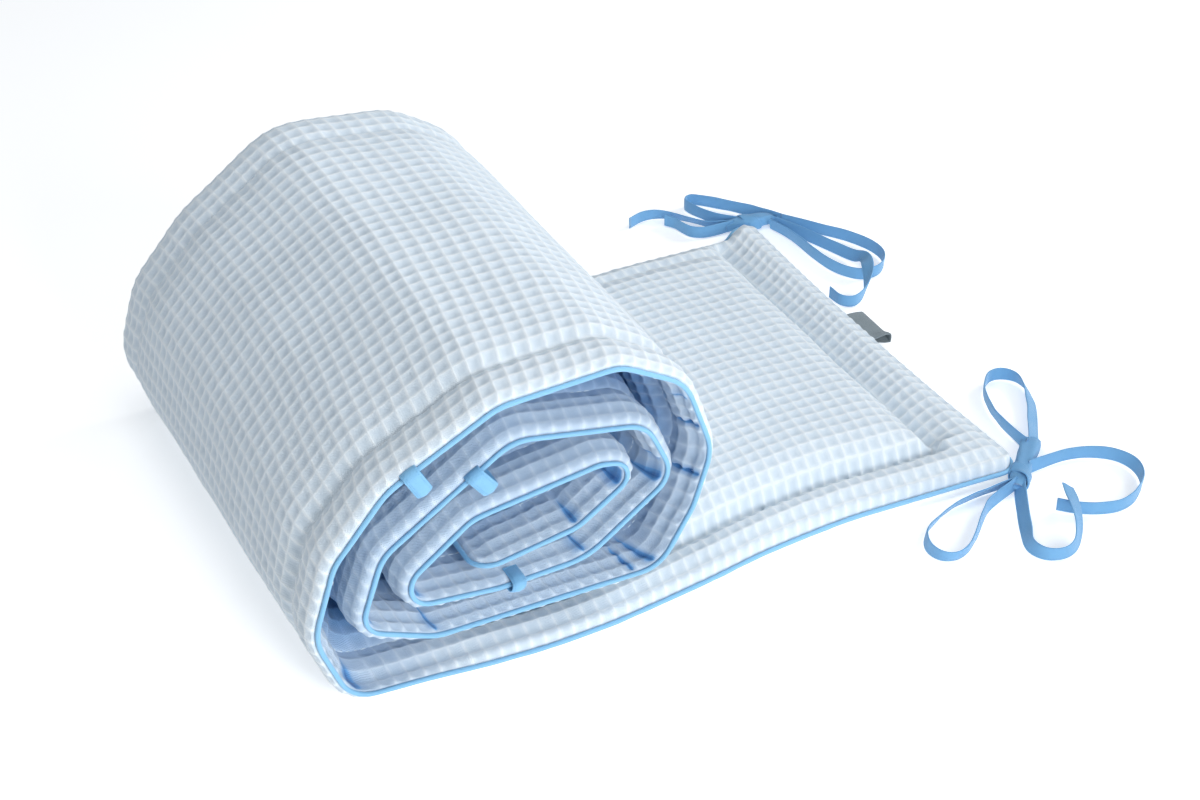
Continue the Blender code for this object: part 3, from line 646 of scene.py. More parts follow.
panel = {
    "arcPoints": 21,  # points on each fold's arc
    "lineStep": 0.5,  # mm
    "foldReach": (2.2, 9),  # mm a fold is averaged over, at the near edge and where it relaxes
    "spread": (-9, -3, 3, 9),  # mm from its place where a value of the folds is read, then averaged
    "width": 300,
    "cornerRadius": 12,
    "sideBorder": 28,  # stitched line to the long edge
    "endBorder": 36,  # stitched line to the short edge
    "bodyHalf": 11,
    "seamHalf": 0.55,  # half the gap between the two covers in the seam
    "edgeHalf": 2.8,  # the CAD's half thickness at the seam, which sets how low it lies
    "bandHalf": 5.5,  # half thickness where the rim rounds over
    "band": 4,  # how far in that is
    "rimPower": 2.6,  # above 2 the rim is blunter than a round one
    "crownHalf": 7.5,  # half thickness at the border's crown
    "crownSpan": (8, 6),  # mm from there to the crown, and how much more inside the roll
    "bodySpan": (6, 34, 0.8),  # the body's rise: mm before the line, over how many mm, its power
    "stitchHalf": {1: 1.6, -1: 2.5},  # half thickness on the stitched line, outer and inner cover
    # how far a line pulls the cloth down on its border side and on its body side,
    # and the powers of the two slopes: below 1 a slope ends in a sharp crease
    "sideTrough": {1: ((4.6, 3), (0.85, 0.80)), -1: ((5, 3.8), (1.1, 1.05))},
    "endTrough": {1: ((4, 2.6), (0.80, 0.75)), -1: ((9.5, 4.2), (1.3, 1.1))},
    "insidePull": 0.35,  # share of the pull left on a cover that lies inside the roll
    "outerInside": (720, 60),  # where the outer cover turns into the roll and how gently
    "farPull": 0.35,  # the far line pulls less, and least on the tail
    "farPullTail": 0.15,
    "linesMeet": (5, 5),  # the side line stops this many mm before the end line, over how many
    "endLine": (2, 9),  # and the end line this many mm before the side line
    "endLineTail": (6, 8),  # but on the tail's far side this many mm in from the edge
    "farRise": 26,  # on the tail the far side rounds over in this many mm
    "tailSpan": (300, 80),  # where the tail ends along the strip and how gently
    "rollRim": (2.6, 1.8),  # inside the roll the inner cover is this much thinner at rim and crown
    # bells along the roll's far edge: where, how wide, how much further drawn in
    "farWander": ((500, 26, 2), (582, 36, -6.5)),
    # the far end stands out here: where, how wide, how far, and from where across it grows
    "farFlare": (578, 48, 4.5, (30, 110)),
    "looseSpan": (430, 800),  # stretch of the strip whose folds relax away from the near edge
    "looseEase": (50, (8, 60)),  # mm to turn at its ends, and where across it starts and grows
    "edgeRise": 1.8,
    "edgeRiseSpan": 8,
    "farDraw": 8.5,  # how far the far edge is drawn in on the roll
    # the same on the tail in two steps, and where each starts and how long it takes
    "tailDraw": ((15, 4, 24), (2.5, 28, 34)),
    "endDraw": 4,
    "endDrawSpan": 60,
    "fullness": (0.97, 18),  # body against the CAD's, to leave room for the ridges, and mm to it
    "cornerSoft": 0.8,  # mm the side's and the end's paddings round into each other
    "settledBack": 0.35,  # share of the pull that the outer cover gives back where it lies flat
}


def averaged(line, step, width):
    # bell-shaped average along a line whose ends carry on straight
    count = int(3.6 * width / step)  # beyond this the bell is next to nothing
    weight = bell(np.arange(-count, count + 1) * step, width)
    before = line[0] + (line[0] - line[1]) * np.arange(count, 0, -1)[:, None]
    after = line[-1] + (line[-1] - line[-2]) * np.arange(1, count + 1)[:, None]
    held = np.vstack([before, line, after])
    return np.stack([np.convolve(held[:, k], weight / weight.sum(), "valid") for k in (0, 1)], -1)


def rollLine(rows):
    # straight runs joined by arcs, read at even steps, then averaged over a short
    # reach at the near edge and a long one further in, where folds relax
    table = np.array(rows, float)
    corner, bend = table[:, :2], table[1:-1, 2]
    back, ahead = unit(corner[:-2] - corner[1:-1]), unit(corner[2:] - corner[1:-1])
    turn = pi - np.arccos(np.clip((back * ahead).sum(1), -1, 1))
    inset = (bend * np.tan(turn / 2))[:, None]
    start, stop = corner[1:-1] + back * inset, corner[1:-1] + ahead * inset
    centre = corner[1:-1] + unit(back + ahead) * (bend / np.cos(turn / 2))[:, None]
    first, last = start - centre, stop - centre
    sweep = np.arctan2(first[:, 0] * last[:, 1] - first[:, 1] * last[:, 0], (first * last).sum(1))
    points = panel["arcPoints"]
    share = sweep[:, None] * np.linspace(0, 1, points)
    arcs = centre[:, None] + np.stack(
        [first[:, :1] * np.cos(share) - first[:, 1:] * np.sin(share),
         first[:, :1] * np.sin(share) + first[:, 1:] * np.cos(share)], -1)
    line = np.vstack([corner[:1], arcs.reshape(-1, 2), corner[-1:]])
    gone = distances(line)
    halfWay = 1 + points * np.arange(len(bend)) + points // 2
    marks = gone[np.concatenate([[0], halfWay, [len(line) - 1]])]
    step = panel["lineStep"]
    s = np.arange(0, gone[-1] + step / 2, step)
    even = np.stack([np.interp(s, gone, line[:, k]) for k in (0, 1)], -1)
    crisp, relaxed = (averaged(even, step, reach) for reach in panel["foldReach"])
    heading = unit(np.gradient(crisp, axis=0))
    angle = np.unwrap(np.arctan2(heading[:, 1], heading[:, 0]))
    return {"s": s, "length": s[-1], "marks": marks * s[-1] / gone[-1],
            "turning": -np.gradient(angle, s), "crisp": np.hstack([crisp, heading]),
            "relaxed": np.hstack([relaxed, unit(np.gradient(relaxed, axis=0))]),
            "half": table[:, 3], "wander": table[:, 4], "settle": table[:, 5]}


roll = rollLine(folds)
print("panel length", round(roll["length"], 1), "mm")


def rollValue(key, s):
    # straight between folds, then eased by reading it a little either side
    return np.interp(s[..., None] + panel["spread"], roll["marks"], roll[key]).mean(-1)


def rollPlace(s, v, offset):
    # point of the strip at s along, v across, offset outward from the middle layer
    inside = np.clip(s, 0, roll["length"])
    firstLoose, lastLoose = panel["looseSpan"]
    turns, (starts, grows) = panel["looseEase"]
    loose = ease((inside - firstLoose) / turns) * ease((lastLoose - inside) / turns) \
        * ease((v + panel["width"] / 2 - starts) / grows)
    x, z, hx, hz = (np.interp(inside, roll["s"], roll["crisp"][:, k]) * (1 - loose)
                    + np.interp(inside, roll["s"], roll["relaxed"][:, k]) * loose for k in range(4))
    size = np.hypot(hx, hz)
    hx, hz = hx / size, hz / size
    place, width, flare, (starts, grows) = panel["farFlare"]
    offset = offset + flare * bell(inside - place, width) * ease((v - starts) / grows)
    beyond = s - inside
    drawn = panel["endDraw"] * (1 - np.clip(np.abs(v) / (panel["width"] / 2), 0, 1) ** 2)
    drawn = drawn * (1 - ease(s / panel["endDrawSpan"]))
    return np.stack([x + hx * beyond - hz * offset - drawn, v - rollValue("wander", inside),
                     z + hz * beyond + hx * offset], -1)


def onTail(s):
    # 1 on the tail, easing to 0 where the strip turns up into the roll
    start, length = panel["tailSpan"]
    return 1 - ease((s - start) / length)


def farDraw(s):
    # two eased steps near the end, then back to the roll's own draw with its bells
    whole = sum(step[0] for step in panel["tailDraw"])
    drawn = sum(size * ease((s - start) / length) for size, start, length in panel["tailDraw"])
    wander = sum(size * bell(s - place, width) for place, width, size in panel["farWander"])
    return drawn + wander + (panel["farDraw"] - whole) * (1 - onTail(s))


def edgeAt(s, side):
    # where a long edge lies across the strip, rounded at the panel's corners
    radius = panel["cornerRadius"]
    end = np.clip(np.minimum(s, roll["length"] - s), 0, radius)
    corner = radius - np.sqrt(np.maximum(radius ** 2 - (radius - end) ** 2, 0))
    return side * (panel["width"] / 2 - corner) - (farDraw(s) if side > 0 else 0)


def padding(inset, border, trough, flatter):
    # half thickness from an edge: a blunt rim, the border's crown, then a slow
    # rise to the full body; and a two-sided pointed bell for the pull of the
    # stitched line. flatter is 1 where the cover lies inside the roll
    band = panel["bandHalf"] - panel["rollRim"][0] * flatter
    crown = panel["crownHalf"] - panel["rollRim"][1] * flatter
    rim = 1 - np.clip(inset / panel["band"], 0, 1)
    blunt = panel["seamHalf"] + (band - panel["seamHalf"]) * (1 - rim ** panel["rimPower"]) ** (1 / 2)
    crownSpan, more = panel["crownSpan"]
    rise = (crown - band) * ease((inset - panel["band"]) / (crownSpan + more * flatter))
    before, span, power = panel["bodySpan"]
    swell = (panel["bodyHalf"] - crown) * ease((inset - border + before) / span) ** power
    away = inset - border
    width, power = (np.where(away < 0, *pair) for pair in trough)
    return blunt + rise + swell, np.exp(-(np.abs(away) / width) ** power)


def softMin(a, b, k):
    # the lesser of two, with the corner between them rounded by about k
    h = np.clip(0.5 + 0.5 * (b - a) / k, 0, 1)
    return b + (a - b) * h - k * h * (1 - h)


def coverPoint(sign, s, v, extra=0):
    # one cover's surface: +1 the outer cover, -1 the inner one
    near, far = edgeAt(s, -1), edgeAt(s, 1)
    side = np.maximum(np.minimum(v - near, far - v), 0)
    end = np.maximum(np.minimum(s, roll["length"] - s), 0)
    share = rollValue("half", s) / panel["bodyHalf"]
    settle = rollValue("settle", s)
    tail = onTail(s)
    flatter = 1 - tail if sign < 0 else 0 * tail
    start, length = panel["outerInside"]
    hidden = flatter if sign < 0 else ease((s - start) / length)
    fullSide, pullSide = padding(side, panel["sideBorder"], panel["sideTrough"][sign], flatter)
    fullEnd, pullEnd = padding(end, panel["endBorder"], panel["endTrough"][sign], flatter)
    # the tail's far side rounds over with no border of its own: 1 - (1 - x)^1.5 to the 2/3
    over = 1 - (1 - np.clip(side / panel["farRise"], 0, 1)) ** 1.5
    rounded = panel["seamHalf"] + (panel["bodyHalf"] - panel["seamHalf"]) * over ** (2 / 3)
    farTail = np.where(v > 0, tail, 0)
    fullSide = fullSide + (rounded - fullSide) * farTail
    farPull = panel["farPull"] + (panel["farPullTail"] - panel["farPull"]) * tail
    pullSide = pullSide * np.where(v > 0, farPull, 1) * (1 - (1 - panel["insidePull"]) * hidden)
    plain = np.maximum(softMin(fullSide, fullEnd, panel["cornerSoft"]), panel["seamHalf"])
    # the side lines stop where they meet the end ones; those narrow to a point at
    # the near corners and run on to the outline at the tail's far side
    (before, span), (inward, length) = panel["endLine"], panel["endLineTail"]
    endReach = ease((side - panel["sideBorder"] + before) / span)
    endReach = endReach + (ease((side - inward) / length) - endReach) * farTail
    before, span = panel["linesMeet"]
    pull = np.maximum(pullSide * ease((end - panel["endBorder"] + before) / span), pullEnd * endReach)
    sewn = plain - pull * np.maximum(plain - panel["stitchHalf"][sign], 0)
    # the outer cover is drawn in by the sewing while the panel keeps its place
    thick = sewn if sign < 0 else sewn + (plain - sewn) * panel["settledBack"] * settle ** 2
    lowest = np.maximum((sewn if sign < 0 else plain) * share, panel["edgeHalf"] * share)
    fullness, reach = panel["fullness"]
    deep = ease(np.minimum(side, end) / reach)
    thick = thick * share * (1 - (1 - fullness) * deep) + extra * deep
    rise = np.clip(1 - np.minimum(side, end) / panel["edgeRiseSpan"], 0, 1) ** 2 * panel["edgeRise"]
    down = settle * (rollValue("half", s) - lowest - rise)
    return rollPlace(s, v, down + sign * thick)


def seamOffset(s):
    # middle of the seam from the panel's middle layer
    half = rollValue("half", s)
    low = half * (1 - panel["edgeHalf"] / panel["bodyHalf"]) - panel["edgeRise"]
    return rollValue("settle", s) * low


waffle = {
    "pitch": {1: 8.1, -1: 7.8},  # mm, one cell along the strip, outer and inner cover
    "pitchAcross": 7.8,
    "depth": 1,  # mm from ridge to pit
    "insideDepth": 0.6,  # share added inside the roll
    "flank": (0.28, 0.60),  # where a rib's flank begins and its length, as shares of half a cell
    "alongRib": 0.78,  # height of the ribs along the panel against those across it
    "crossing": 0.12,  # share added where ribs cross
    "level": 0.45,  # height of the cover's own surface between pit and ridge
    "columnsPerCell": 4,
    "firstLine": 0.6,  # share of a cell from the near edge to the first line of the weave
    "rim": (0, 0.35, 0.9, 1.8, 2.9),  # mm from an edge to each close row of points
    "lineRows": (-0.9, 0, 0.9),  # and from the stitched line
    "plainRim": (0.3, 1),  # mm beside the piping where the weave is pressed flat, and till it isn't
    "farFlat": (0.7, 16),  # share of the relief lost at the far edge, and over how many mm
    "sewnFlat": (0.6, 1.6),  # and beside a stitched line
    "crowded": (10, 0.25),  # mm, a bend's radius in whose hollow the cells go flat, and the least left
    # unevenness: mm or share, and mm to a wave, growing over edgeStill mm from the edges
    "edgeStill": 14,
    "pucker": (0.22, 17),
    "puckerBand": (3.5, 13),  # how far from the line it is strongest, and how wide
    "swell": (0.3, 75),
    "taut": (14, 0.4),  # mm, the bend's radius where the swell is least, and its share there
    "drift": (0.20, 60),
    "grain": (0.18, 22),
    # the weave's lines across the panel bow: how far along the strip at these
    # places, most at bowPeak across and nothing at the near edge
    "bowAt": (0, 60, 190, 480, 640, 760, 1544),
    "bow": (0, -12, -12, 20, 25, 25, 0),
    "bowPeak": ((190, 15), (480, 45)),
}
# where the points of a cell lie for each count of points to a cell: on the two
# shoulders of a rib and round the pit's floor
cellPoints = {1: (0.5,), 3: (-0.07, 0.07, 0.5), 4: (-0.06, 0.06, 0.35, 0.65)}
# stretches along the strip: from, to and points to a cell, finer where it is seen
innerRows = ((0, 200, 4), (200, 450, 3), (450, 660, 1), (660, 960, 4), (960, 1135, 1),
             (1135, 1320, 3), (1320, 1440, 1), (1440, 1545, 3))
outerRows = ((0, 330, 1), (330, 700, 4), (700, 930, 1), (930, 1140, 3), (1140, 1310, 1),
             (1310, 1470, 3), (1470, 1545, 1))
# folds pressed into the inner cover near its near edge: how far along the strip,
# how deep and how far in they reach
creases = (
    (393, 2.2, 24), (432, 2.2, 24), (472, 2.2, 24), (577, 2, 24), (639, 2.4, 26),
    (683, 2.8, 26), (703, 3.4, 32), (732, 3.6, 38), (784, 3.6, 34), (797, 3, 28),
    (904, 3.2, 32), (944, 2.4, 26), (1132, 2.2, 24), (1155, 3, 26), (1168, 3.6, 38),
    (1222, 3.2, 30), (1315, 2, 22), (1435, 2, 22), (1462, 3.2, 30), (1491, 2.2, 24),
)
crease = {
    "width": 0.7,  # mm
    "rows": (-1.6, -0.6, 0, 0.6, 1.6),  # where it has rows of points, in widths
    "clear": 0.7,  # mm, other rows nearer than this are left out
    "fade": 3,  # mm from the piping over which it deepens
    "shadeRate": 1.6,  # how soon its painted shade is full
}
closest = {"rows": 0.34, "columns": 0.30}  # mm, of two lines nearer than this one is left out
widest = {1: 8, -1: 6}  # mm, the longest step along each cover
# from how far along the strip a cover lies inside the roll, and over how many mm
# from its long edges its colour turns to the deeper blue of the painted shade there
insideRollShade = {1: (780, 46), -1: (330, 46)}
insideShadeSpread = (60, 0.25, 10)  # mm along to turn, share of the painted shade at the edge, mm in where it grows


def filled(at, longest):
    # adds even steps where two neighbours lie further apart than longest
    gap = np.diff(at)
    parts = np.maximum(np.ceil(gap / longest - 1e-6).astype(int), 1)
    count = np.arange(parts.sum()) - np.repeat(np.cumsum(parts) - parts, parts)
    return np.append(np.repeat(at[:-1], parts) + np.repeat(gap / parts, parts) * count, at[-1])


def weaveLines(first, last, perCell):
    # places from first to last, counted in cells, that carry a row of points
    cells = np.arange(np.floor(first) - 1, np.ceil(last) + 1)
    at = (cells[:, None] + np.array(cellPoints[perCell])).ravel()
    return at[(at >= first) & (at < last)]


def coverLength(sign):
    # length of this cover's surface up to each point of the roll line: longer than
    # the middle layer outside a bend and shorter inside it
    half = np.interp(roll["s"], roll["marks"], roll["half"])
    stretch = np.maximum(1 + sign * roll["turning"] * half, 0.06)
    return np.concatenate([[0], np.cumsum((stretch[1:] + stretch[:-1]) / 2 * np.diff(roll["s"]))])


def coverRows(sign, zones, length):
    # rows on the weave's own lines, counted along this cover's surface
    pitch = waffle["pitch"][sign]
    rows = [np.array([*waffle["rim"], panel["endBorder"]])]
    rows.append(roll["length"] - rows[0])
    for start, stop, perCell in zones:
        first, last = np.interp([start, min(stop, roll["length"])], roll["s"], length) / pitch
        rows.append(np.interp(weaveLines(first, last, perCell) * pitch, length, roll["s"]))
    at = np.unique(np.concatenate(rows))
    if sign < 0:
        # close rows of their own on both sides of each pressed fold
        marks = np.interp([row[0] for row in creases], roll["s"], length)
        pressed = (marks[:, None] + crease["width"] * np.array(crease["rows"])).ravel()
        pressed = np.interp(pressed, length, roll["s"])
        at = at[np.min(np.abs(at[:, None] - pressed), axis=1) > crease["clear"]]
        at = np.unique(np.concatenate([at[np.diff(at, prepend=-1) > closest["rows"]], pressed]))
    else:
        at = at[np.diff(at, prepend=-1) > closest["rows"]]
    at[-1] = roll["length"]
    at = filled(at, widest[sign])
    return at, np.interp(at, roll["s"], length)


def waffleRelief(u, w):
    # flat-topped ribs with long sloping flanks round a small pit: ribs across the
    # panel stand taller than those along it, and the greater of the two counts
    begins, length = waffle["flank"]
    ribU, ribW = (ease((np.abs(2 * (x % 1) - 1) - begins) / length) for x in (u, w))
    tall = np.maximum(ribU, waffle["alongRib"] * ribW)
    return tall + waffle["crossing"] * ribU * ribW - waffle["level"]


def bowed(s, v):
    # how far a row of the weave is carried along the strip: size (1 - (v - peak)^2 / reach^2)
    (tailEnd, tailPeak), (rollStart, rollPeak) = waffle["bowPeak"]
    peak = tailPeak + (rollPeak - tailPeak) * ease((s - tailEnd) / (rollStart - tailEnd))
    reach = peak + panel["width"] / 2
    return np.interp(s, waffle["bowAt"], waffle["bow"]) * (1 - ((v - peak) / reach) ** 2)


def waffleCover(name, sign, zones, seed):
    # the cover's plain surface on a grid of the weave's own lines, moved in and out
    # by puckers and pressed folds, with the waffle's height added along its normal
    surface = coverLength(sign)
    s, length = coverRows(sign, zones, surface)
    clothWidth = panel["width"] - panel["farDraw"]
    pitch = waffle["pitchAcross"]
    start = waffle["firstLine"] * pitch
    w = weaveLines(-start / pitch, (clothWidth - start) / pitch, waffle["columnsPerCell"])
    w = w * pitch + start
    rim = np.concatenate([waffle["rim"], panel["sideBorder"] + np.array(waffle["lineRows"])])
    free = waffle["rim"][-1] + 0.5
    w = np.unique(np.concatenate([w[(w > free) & (w < clothWidth - free)], rim, clothWidth - rim]))
    w = w[np.diff(w, prepend=-1) > closest["columns"]]
    rows, columns = len(s), len(w)
    bow = bowed(s[:, None], w[None, :] - panel["width"] / 2)
    along = np.interp(length[:, None] + bow, surface, roll["s"])
    near, far = edgeAt(along, -1), edgeAt(along, 1)
    across = near + (far - near) * w[None, :] / clothWidth
    u = length[:, None] / waffle["pitch"][sign] + np.zeros_like(across)
    plain = panel["width"] / 2
    cells = (across + plain) * clothWidth / (panel["width"] - farDraw(along))
    cells = (cells - start) / pitch
    side = np.minimum(across - near, far - across)
    end = np.minimum(along, roll["length"] - along)
    inset = np.minimum(side, end)
    inside = ease(inset / waffle["edgeStill"])

    fromLine = np.where(side - panel["sideBorder"] < end - panel["endBorder"],
                        np.abs(side - panel["sideBorder"]), np.abs(end - panel["endBorder"]))
    away, reach = waffle["puckerBand"]
    deep, size = waffle["pucker"]
    pucker = deep * bell(fromLine - away, reach) * unevenness(along, across, size, seed)
    deep, size = waffle["swell"]
    swell = deep * unevenness(along, across, size, seed + 1)
    # the cloth is slack on straight runs and taut round bends
    tautest, least = waffle["taut"]
    slack = ease(1 - np.abs(np.interp(along, roll["s"], roll["turning"])) * tautest)
    extra = (swell * (least + (1 - least) * slack) + pucker) * inside
    # painted shade deep inside the roll, less of it near the long edges
    firstInside, grows = insideRollShade[sign]
    turns, least, starts = insideShadeSpread
    paintedShade = ease((along - firstInside) / turns) * (least + (1 - least) * ease((side - starts) / grows))
    if sign < 0:
        for place, depth, reach in creases:
            fade = ease(1 - (across - near) / reach) * ease((across - near) / crease["fade"])
            gap = np.abs(length[:, None] - np.interp(place, s, length))
            fold = np.exp(-gap / crease["width"]) * fade
            extra = extra - depth * fold
            # painted shade along the fold, its share going up towards 2
            paintedShade = paintedShade + (2 - paintedShade) * np.minimum(crease["shadeRate"] * fold, 1)
    drift, size = waffle["drift"]
    driftS = drift * inside * unevenness(along, across, size, seed + 2)
    driftV = drift * inside * unevenness(along, across, size, seed + 3)
    base = coverPoint(sign, along + driftS, across + driftV, extra)

    ahead, over = np.gradient(base, axis=0), np.gradient(base, axis=1)
    normal = unit(np.cross(ahead, over))
    outward = coverPoint(sign, along, across, 1) - coverPoint(sign, along, across, 0)
    if np.sum(normal * outward) < 0:
        normal = -normal
    # pressed flat beside the piping, and further in where the far side rounds over
    (plainRim, rising), (lost, reach) = waffle["plainRim"], waffle["farFlat"]
    pressed = ease((inset - plainRim) / rising) * (1 - lost * ease(1 - (far - across) / reach))
    bend, least = waffle["crowded"]
    stretched = np.interp(along, roll["s"], np.clip(1 + sign * roll["turning"] * bend, least, 1))
    deep, size = waffle["grain"]
    grain = 1 + deep * unevenness(along, across, size, seed + 4)
    lost, reach = waffle["sewnFlat"]
    sewnFlat = 1 - lost * bell(fromLine, reach)
    # unpulled cloth inside the roll keeps deeper cells
    deeper = 1 + waffle["insideDepth"] * (1 - onTail(along)) * (sign < 0)
    relief = waffle["depth"] * deeper * waffleRelief(u, cells) * pressed * stretched * grain * sewnFlat
    points = base + normal * relief[..., None]
    points[..., 2] = np.maximum(points[..., 2], 0)

    # the strip of faces that closes it on its far side
    i = np.arange(rows - 1) * columns
    closing = np.stack([i, i + columns - 1, i + 2 * columns - 1, i + columns], -1)
    quads = np.vstack([gridQuads(rows, columns)[0], closing])
    uvAll = np.stack([u, cells], -1).reshape(-1, 2)
    piece = makePiece(name, points, quads, endCaps(rows, columns), uvAll[quads], clothMaterial,
                      paintedShade=paintedShade)
    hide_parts("padded_panel")


stitch = {
    "length": 3, "gap": 1.1, "radius": 0.28, "sides": 6,
    "rings": (-0.5, -0.42, 0, 0.42, 0.5),  # places along the stitch, of its length
    "swell": (0.25, 0.8, 1, 0.8, 0.25),  # thickness there, of its own
    "rise": 0.35, "sink": 0.05,  # mm its middle stands out and its ends lie under
}


def stitchLine():
    # the stitched rectangle, as points along and across, each a stitch's middle
    reach = stitch["length"] + stitch["gap"]
    first, last = panel["endBorder"], roll["length"] - panel["endBorder"]
    s = np.arange(first, last, reach)
    near, far = edgeAt(s, -1) + panel["sideBorder"], edgeAt(s, 1) - panel["sideBorder"]
    wide = np.arange(near[0], far[0], reach)
    ends = [np.stack([np.full(len(wide), end), wide], -1) for end in (first, last)]
    places = np.vstack([np.stack([s, near], -1), np.stack([s, far], -1), *ends])
    way = np.vstack([np.tile((1, 0), (2 * len(s), 1)), np.tile((0, 1), (2 * len(wide), 1))])
    return places, way


def sewnStitches(name, sign):
    # short capsules of thread: rings along each stitch, narrow at both ends,
    # dipping into the cloth there
    places, way = stitchLine()
    t, swell = np.array(stitch["rings"]), np.array(stitch["swell"])
    spots = places[:, None] + way[:, None] * (t * stitch["length"])[None, :, None]
    centre = coverPoint(sign, spots[..., 0], spots[..., 1])
    outward = unit(rollPlace(spots[..., 0], spots[..., 1], sign)
                   - rollPlace(spots[..., 0], spots[..., 1], 0))
    ahead = unit(np.gradient(centre, axis=1))
    beside = unit(np.cross(ahead, outward))
    centre = centre + outward * (stitch["rise"] * (1 - (2 * t) ** 4) - stitch["sink"])[None, :, None]
    turn = ringAngles(stitch["sides"])
    rings = centre[:, :, None] + stitch["radius"] * swell[None, :, None, None] * (
        beside[:, :, None] * np.cos(turn)[None, None, :, None]
        + outward[:, :, None] * np.sin(turn)[None, None, :, None])
    rings[..., 2] = np.maximum(rings[..., 2], 0)
    count, sides = len(places), stitch["sides"]
    one = gridQuads(len(t), sides, ringColumns=True)[0]
    start = (np.arange(count) * len(t) * sides)[:, None, None]
    quads = (one[None] + start).reshape(-1, 4)
    low = np.arange(sides)[::-1][None] + start[:, 0]
    high = np.arange(sides)[None] + (len(t) - 1) * sides + start[:, 0]
    piece = makePiece(name, rings, quads, low.tolist() + high.tolist(), material=sewing)


piping = {
    "radius": 1.25, "reach": 0.95, "step": 2.4, "sides": 12,
    "cornerPoints": 9, "endPoints": 116,
    "uneven": (0.05, 16, 5),  # share of the radius, mm to a wave, seed
}


def seamPath(reach):
    # closed path round the strip in along and across, reach outside its edge
    corner, width, last = panel["cornerRadius"], panel["width"] / 2, roll["length"]
    turn = np.radians(np.linspace(0, 90, piping["cornerPoints"]))
    radius = corner + reach
    run = np.linspace(corner, last - corner, int((last - 2 * corner) / piping["step"]))[1:-1]
    ends = np.linspace(-1, 1, piping["endPoints"])[1:-1] * (width - corner)
    drawn = farDraw(np.array(last))
    cosine, sine = np.cos(turn), np.sin(turn)
    parts = [
        (corner - radius * cosine, -(width - corner) - radius * sine),
        (run, edgeAt(run, -1) - reach),
        (last - corner + radius * sine, -(width - corner) - radius * cosine),
        (np.full(len(ends), last + reach), ends - drawn * np.maximum(ends, 0) / (width - corner)),
        (last - corner + radius * cosine, (width - corner) + radius * sine - drawn),
        (run[::-1], edgeAt(run[::-1], 1) + reach),
        (corner - radius * sine, (width - corner) + radius * cosine - farDraw(corner - radius * sine)),
        (np.full(len(ends), -reach), ends[::-1]),
    ]
    return np.hstack([np.stack(part) for part in parts])


def pipingCord():
    # round cord in its cloth: rings along the seam, a little uneven in thickness
    s, v = seamPath(piping["reach"])
    inside = np.clip(s, 0, roll["length"])
    path = rollPlace(s, v, seamOffset(inside))
    flat = rollPlace(inside, v, 1) - rollPlace(inside, v, 0)
    ahead = unit(np.roll(path, -1, axis=0) - np.roll(path, 1, axis=0))
    normal = unit(flat - ahead * (flat * ahead).sum(1, keepdims=True))
    outward = np.cross(ahead, normal)
    gone = distances(path)
    total = gone[-1] + np.linalg.norm(path[0] - path[-1])
    turn = ringAngles(piping["sides"])
    share, size, seed = piping["uneven"]
    radius = piping["radius"] * (1 + share * unevenness(gone, 0 * gone, size, seed))[:, None, None]
    rings = path[:, None] + radius * (outward[:, None] * np.cos(turn)[None, :, None]
                                      + normal[:, None] * np.sin(turn)[None, :, None])
    quads, spots = gridQuads(len(path), len(turn), True, True)
    alongMap = np.append(gone, total)
    around = np.arange(len(turn) + 1) * 2 * pi * piping["radius"] / len(turn)
    # the cloth is cut on the bias, so its threads run at 45 degrees
    a, b = alongMap[spots[..., 0]], around[spots[..., 1]]
    uv = np.stack([a + b, a - b], -1) * 0.7071
    piece = makePiece("piping_cord", rings, quads, (), uv, pipingMaterial)
    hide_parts("piping")


# how far along the tab leaves the seam, its width, how far it drops across the
# gap, how far it tucks in, how far it slants along as it drops, and how much of
# its width is left where it is folded over the piping
tabs = {
    "tab_outer_wrap": (527.5, 10, 9, 15, 0.5, 0.90),
    "tab_second_wrap": (1039.5, 10, 10.5, 15, 1.5, 0.90),
    "tab_heart": (1261.5, 10, 3.6, 8, -2, 0.74),
}
tabShape = {"thickness": 0.9, "step": 0.9, "sides": 18, "bulge": 1.3}


def tapeTab(name, row):
    # the tape's section carried from behind the seam over the piping, down
    # across the gap and in beneath it
    along, width, drop, tuck, slant, gathered = row
    near = edgeAt(np.array(along), -1)
    seam = seamOffset(np.array(along))
    # across the strip, and outward from its middle layer
    bends = np.array([
        (near + 2.5, seam + 1.2), (near - 0.6, seam + 2.6), (near - 3, seam + 2.5),
        (near - 4.6, seam + 0.8), (near - 4.9, seam - 2), (near - 4.9, -drop * 0.62),
        (near - 4.2, -drop + 1.4), (near - 1.6, -drop + 0.5), (near + 4, -drop + 0.6),
        (near + tuck, -drop + 0.6)])
    route = smoothRoute(np.column_stack([bends, np.zeros(len(bends))]), tabShape["step"])[:, :2]
    way = unit(np.gradient(route, axis=0))
    side = np.stack([way[:, 1], -way[:, 0]], -1)
    wide, thick = tapeSection(width, tabShape["thickness"], tabShape["sides"])
    share = np.linspace(0, 1, len(route))
    bulge = tabShape["bulge"] * np.sin(pi * share)[:, None] * (1 - (2 * wide / width) ** 2)[None]
    spot = route[:, None] + side[:, None] * (thick[None] + bulge)[..., None]
    s = along + gathered * wide[None] + slant * ease(share * 1.6)[:, None]
    points = rollPlace(s, spot[..., 0], spot[..., 1])
    quads, spots = gridQuads(len(route), len(wide), ringColumns=True)
    piece = makePiece(name + "_tape", points, quads, endCaps(len(route), len(wide)),
                      tapeMap(spots, tabShape["step"], wide, width), tabMaterial)
    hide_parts(name)


label = {
    "length": 32, "reach": 12.3, "thickness": 0.5, "middle": 21, "gap": 1,
    "flare": 2.3,  # how much wider the gap is at the near end
    "flareSpan": (0.22, 0.28),  # from where it starts to the end, as shares of the length
    "sag": 1.2, "lift": 2.8,
    "points": (49, 12, 9),  # along, out from the seam, and round the fold
    "ripple": (0.25, 22, 44),  # mm, mm to a wave, seed
}


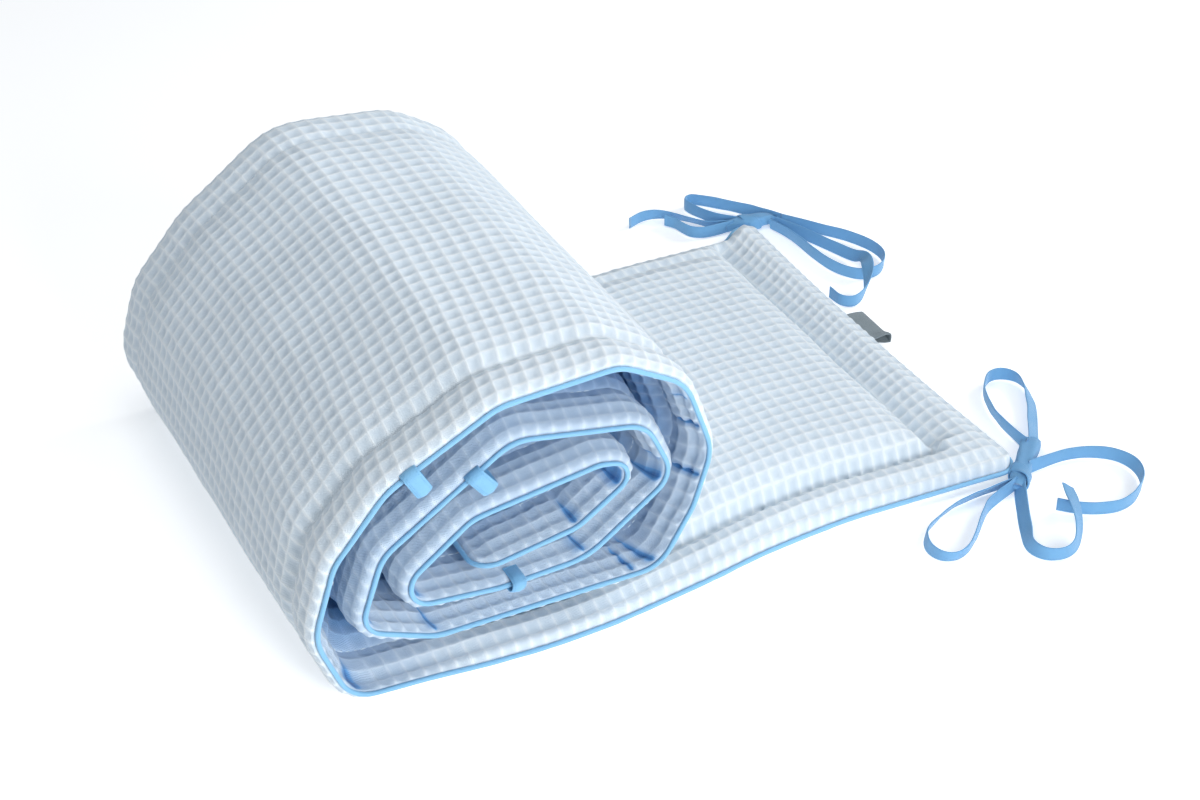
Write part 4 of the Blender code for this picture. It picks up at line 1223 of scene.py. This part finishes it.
def foldedLabel():
    # a strip folded back on itself: out from the seam, round the fold and back,
    # its two layers gaping at the near end
    columns, straight, bend = label["points"]
    v = np.linspace(-0.5, 0.5, columns) * label["length"]
    out = np.linspace(0.3, label["reach"] - 0.5, straight)
    turn = np.linspace(0.5 * pi, -0.5 * pi, bend)[1:-1]
    reach = np.concatenate([out, label["reach"] - 0.5 + 0.5 * np.cos(turn), out[::-1]])
    side = np.concatenate([np.ones(straight), np.sin(turn), -np.ones(straight)])
    starts, grows = label["flareSpan"]
    gape = label["gap"] / 2 + label["flare"] * ease((-v / label["length"] - starts) / grows)
    apart = -side[:, None] * gape[None] * np.minimum(1, 0.35 + reach / label["reach"])[:, None]
    line = np.stack([np.repeat(reach[:, None], columns, 1), apart], -1)
    way = unit(np.gradient(line, axis=0))
    normal = np.stack([-way[..., 1], way[..., 0]], -1)
    size, wave, seed = label["ripple"]
    middleV = label["middle"] + rollValue("wander", np.array(0))
    layers = []
    for face in (1, -1):
        spot = line + normal * face * label["thickness"] / 2
        sag = label["sag"] * (spot[..., 0] / label["reach"]) ** 2
        ripple = size * unevenness(spot[..., 0], v[None], wave, seed)
        offset = seamOffset(np.array(0)) - label["lift"] + sag + spot[..., 1] + ripple
        layers.append(rollPlace(-spot[..., 0], middleV + v[None], offset))
    rows = len(reach)
    total = rows * columns
    points = np.concatenate(layers)
    quads = gridQuads(rows, columns)[0]
    i, j = np.arange(rows - 1) * columns, np.arange(columns - 1)
    rims = []
    for edge, step in ((i, columns), (i + columns - 1, columns), (j, 1), (j + (rows - 1) * columns, 1)):
        rims.append(np.stack([edge, edge + step, edge + step + total, edge + total], -1))
    rims[0], rims[3] = rims[0][:, ::-1], rims[3][:, ::-1]
    every = np.vstack([quads, quads[:, ::-1] + total, *rims])
    uvAll = np.stack(np.broadcast_arrays(v[None], np.arange(rows)[:, None]), -1)
    uvAll = np.tile(uvAll.reshape(-1, 2), (2, 1))
    piece = makePiece("side_label_strip", points, every, (), uvAll[every], labelMaterial, 40)
    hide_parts("side_label")


print("covers")
waffleCover("outer_cover", 1, outerRows, 11)
waffleCover("inner_cover", -1, innerRows, 31)
print("sewing and piping")
sewnStitches("outer_stitches", 1)
sewnStitches("inner_stitches", -1)
pipingCord()

print("tabs and label")
for name, row in tabs.items():
    tapeTab(name, row)
foldedLabel()
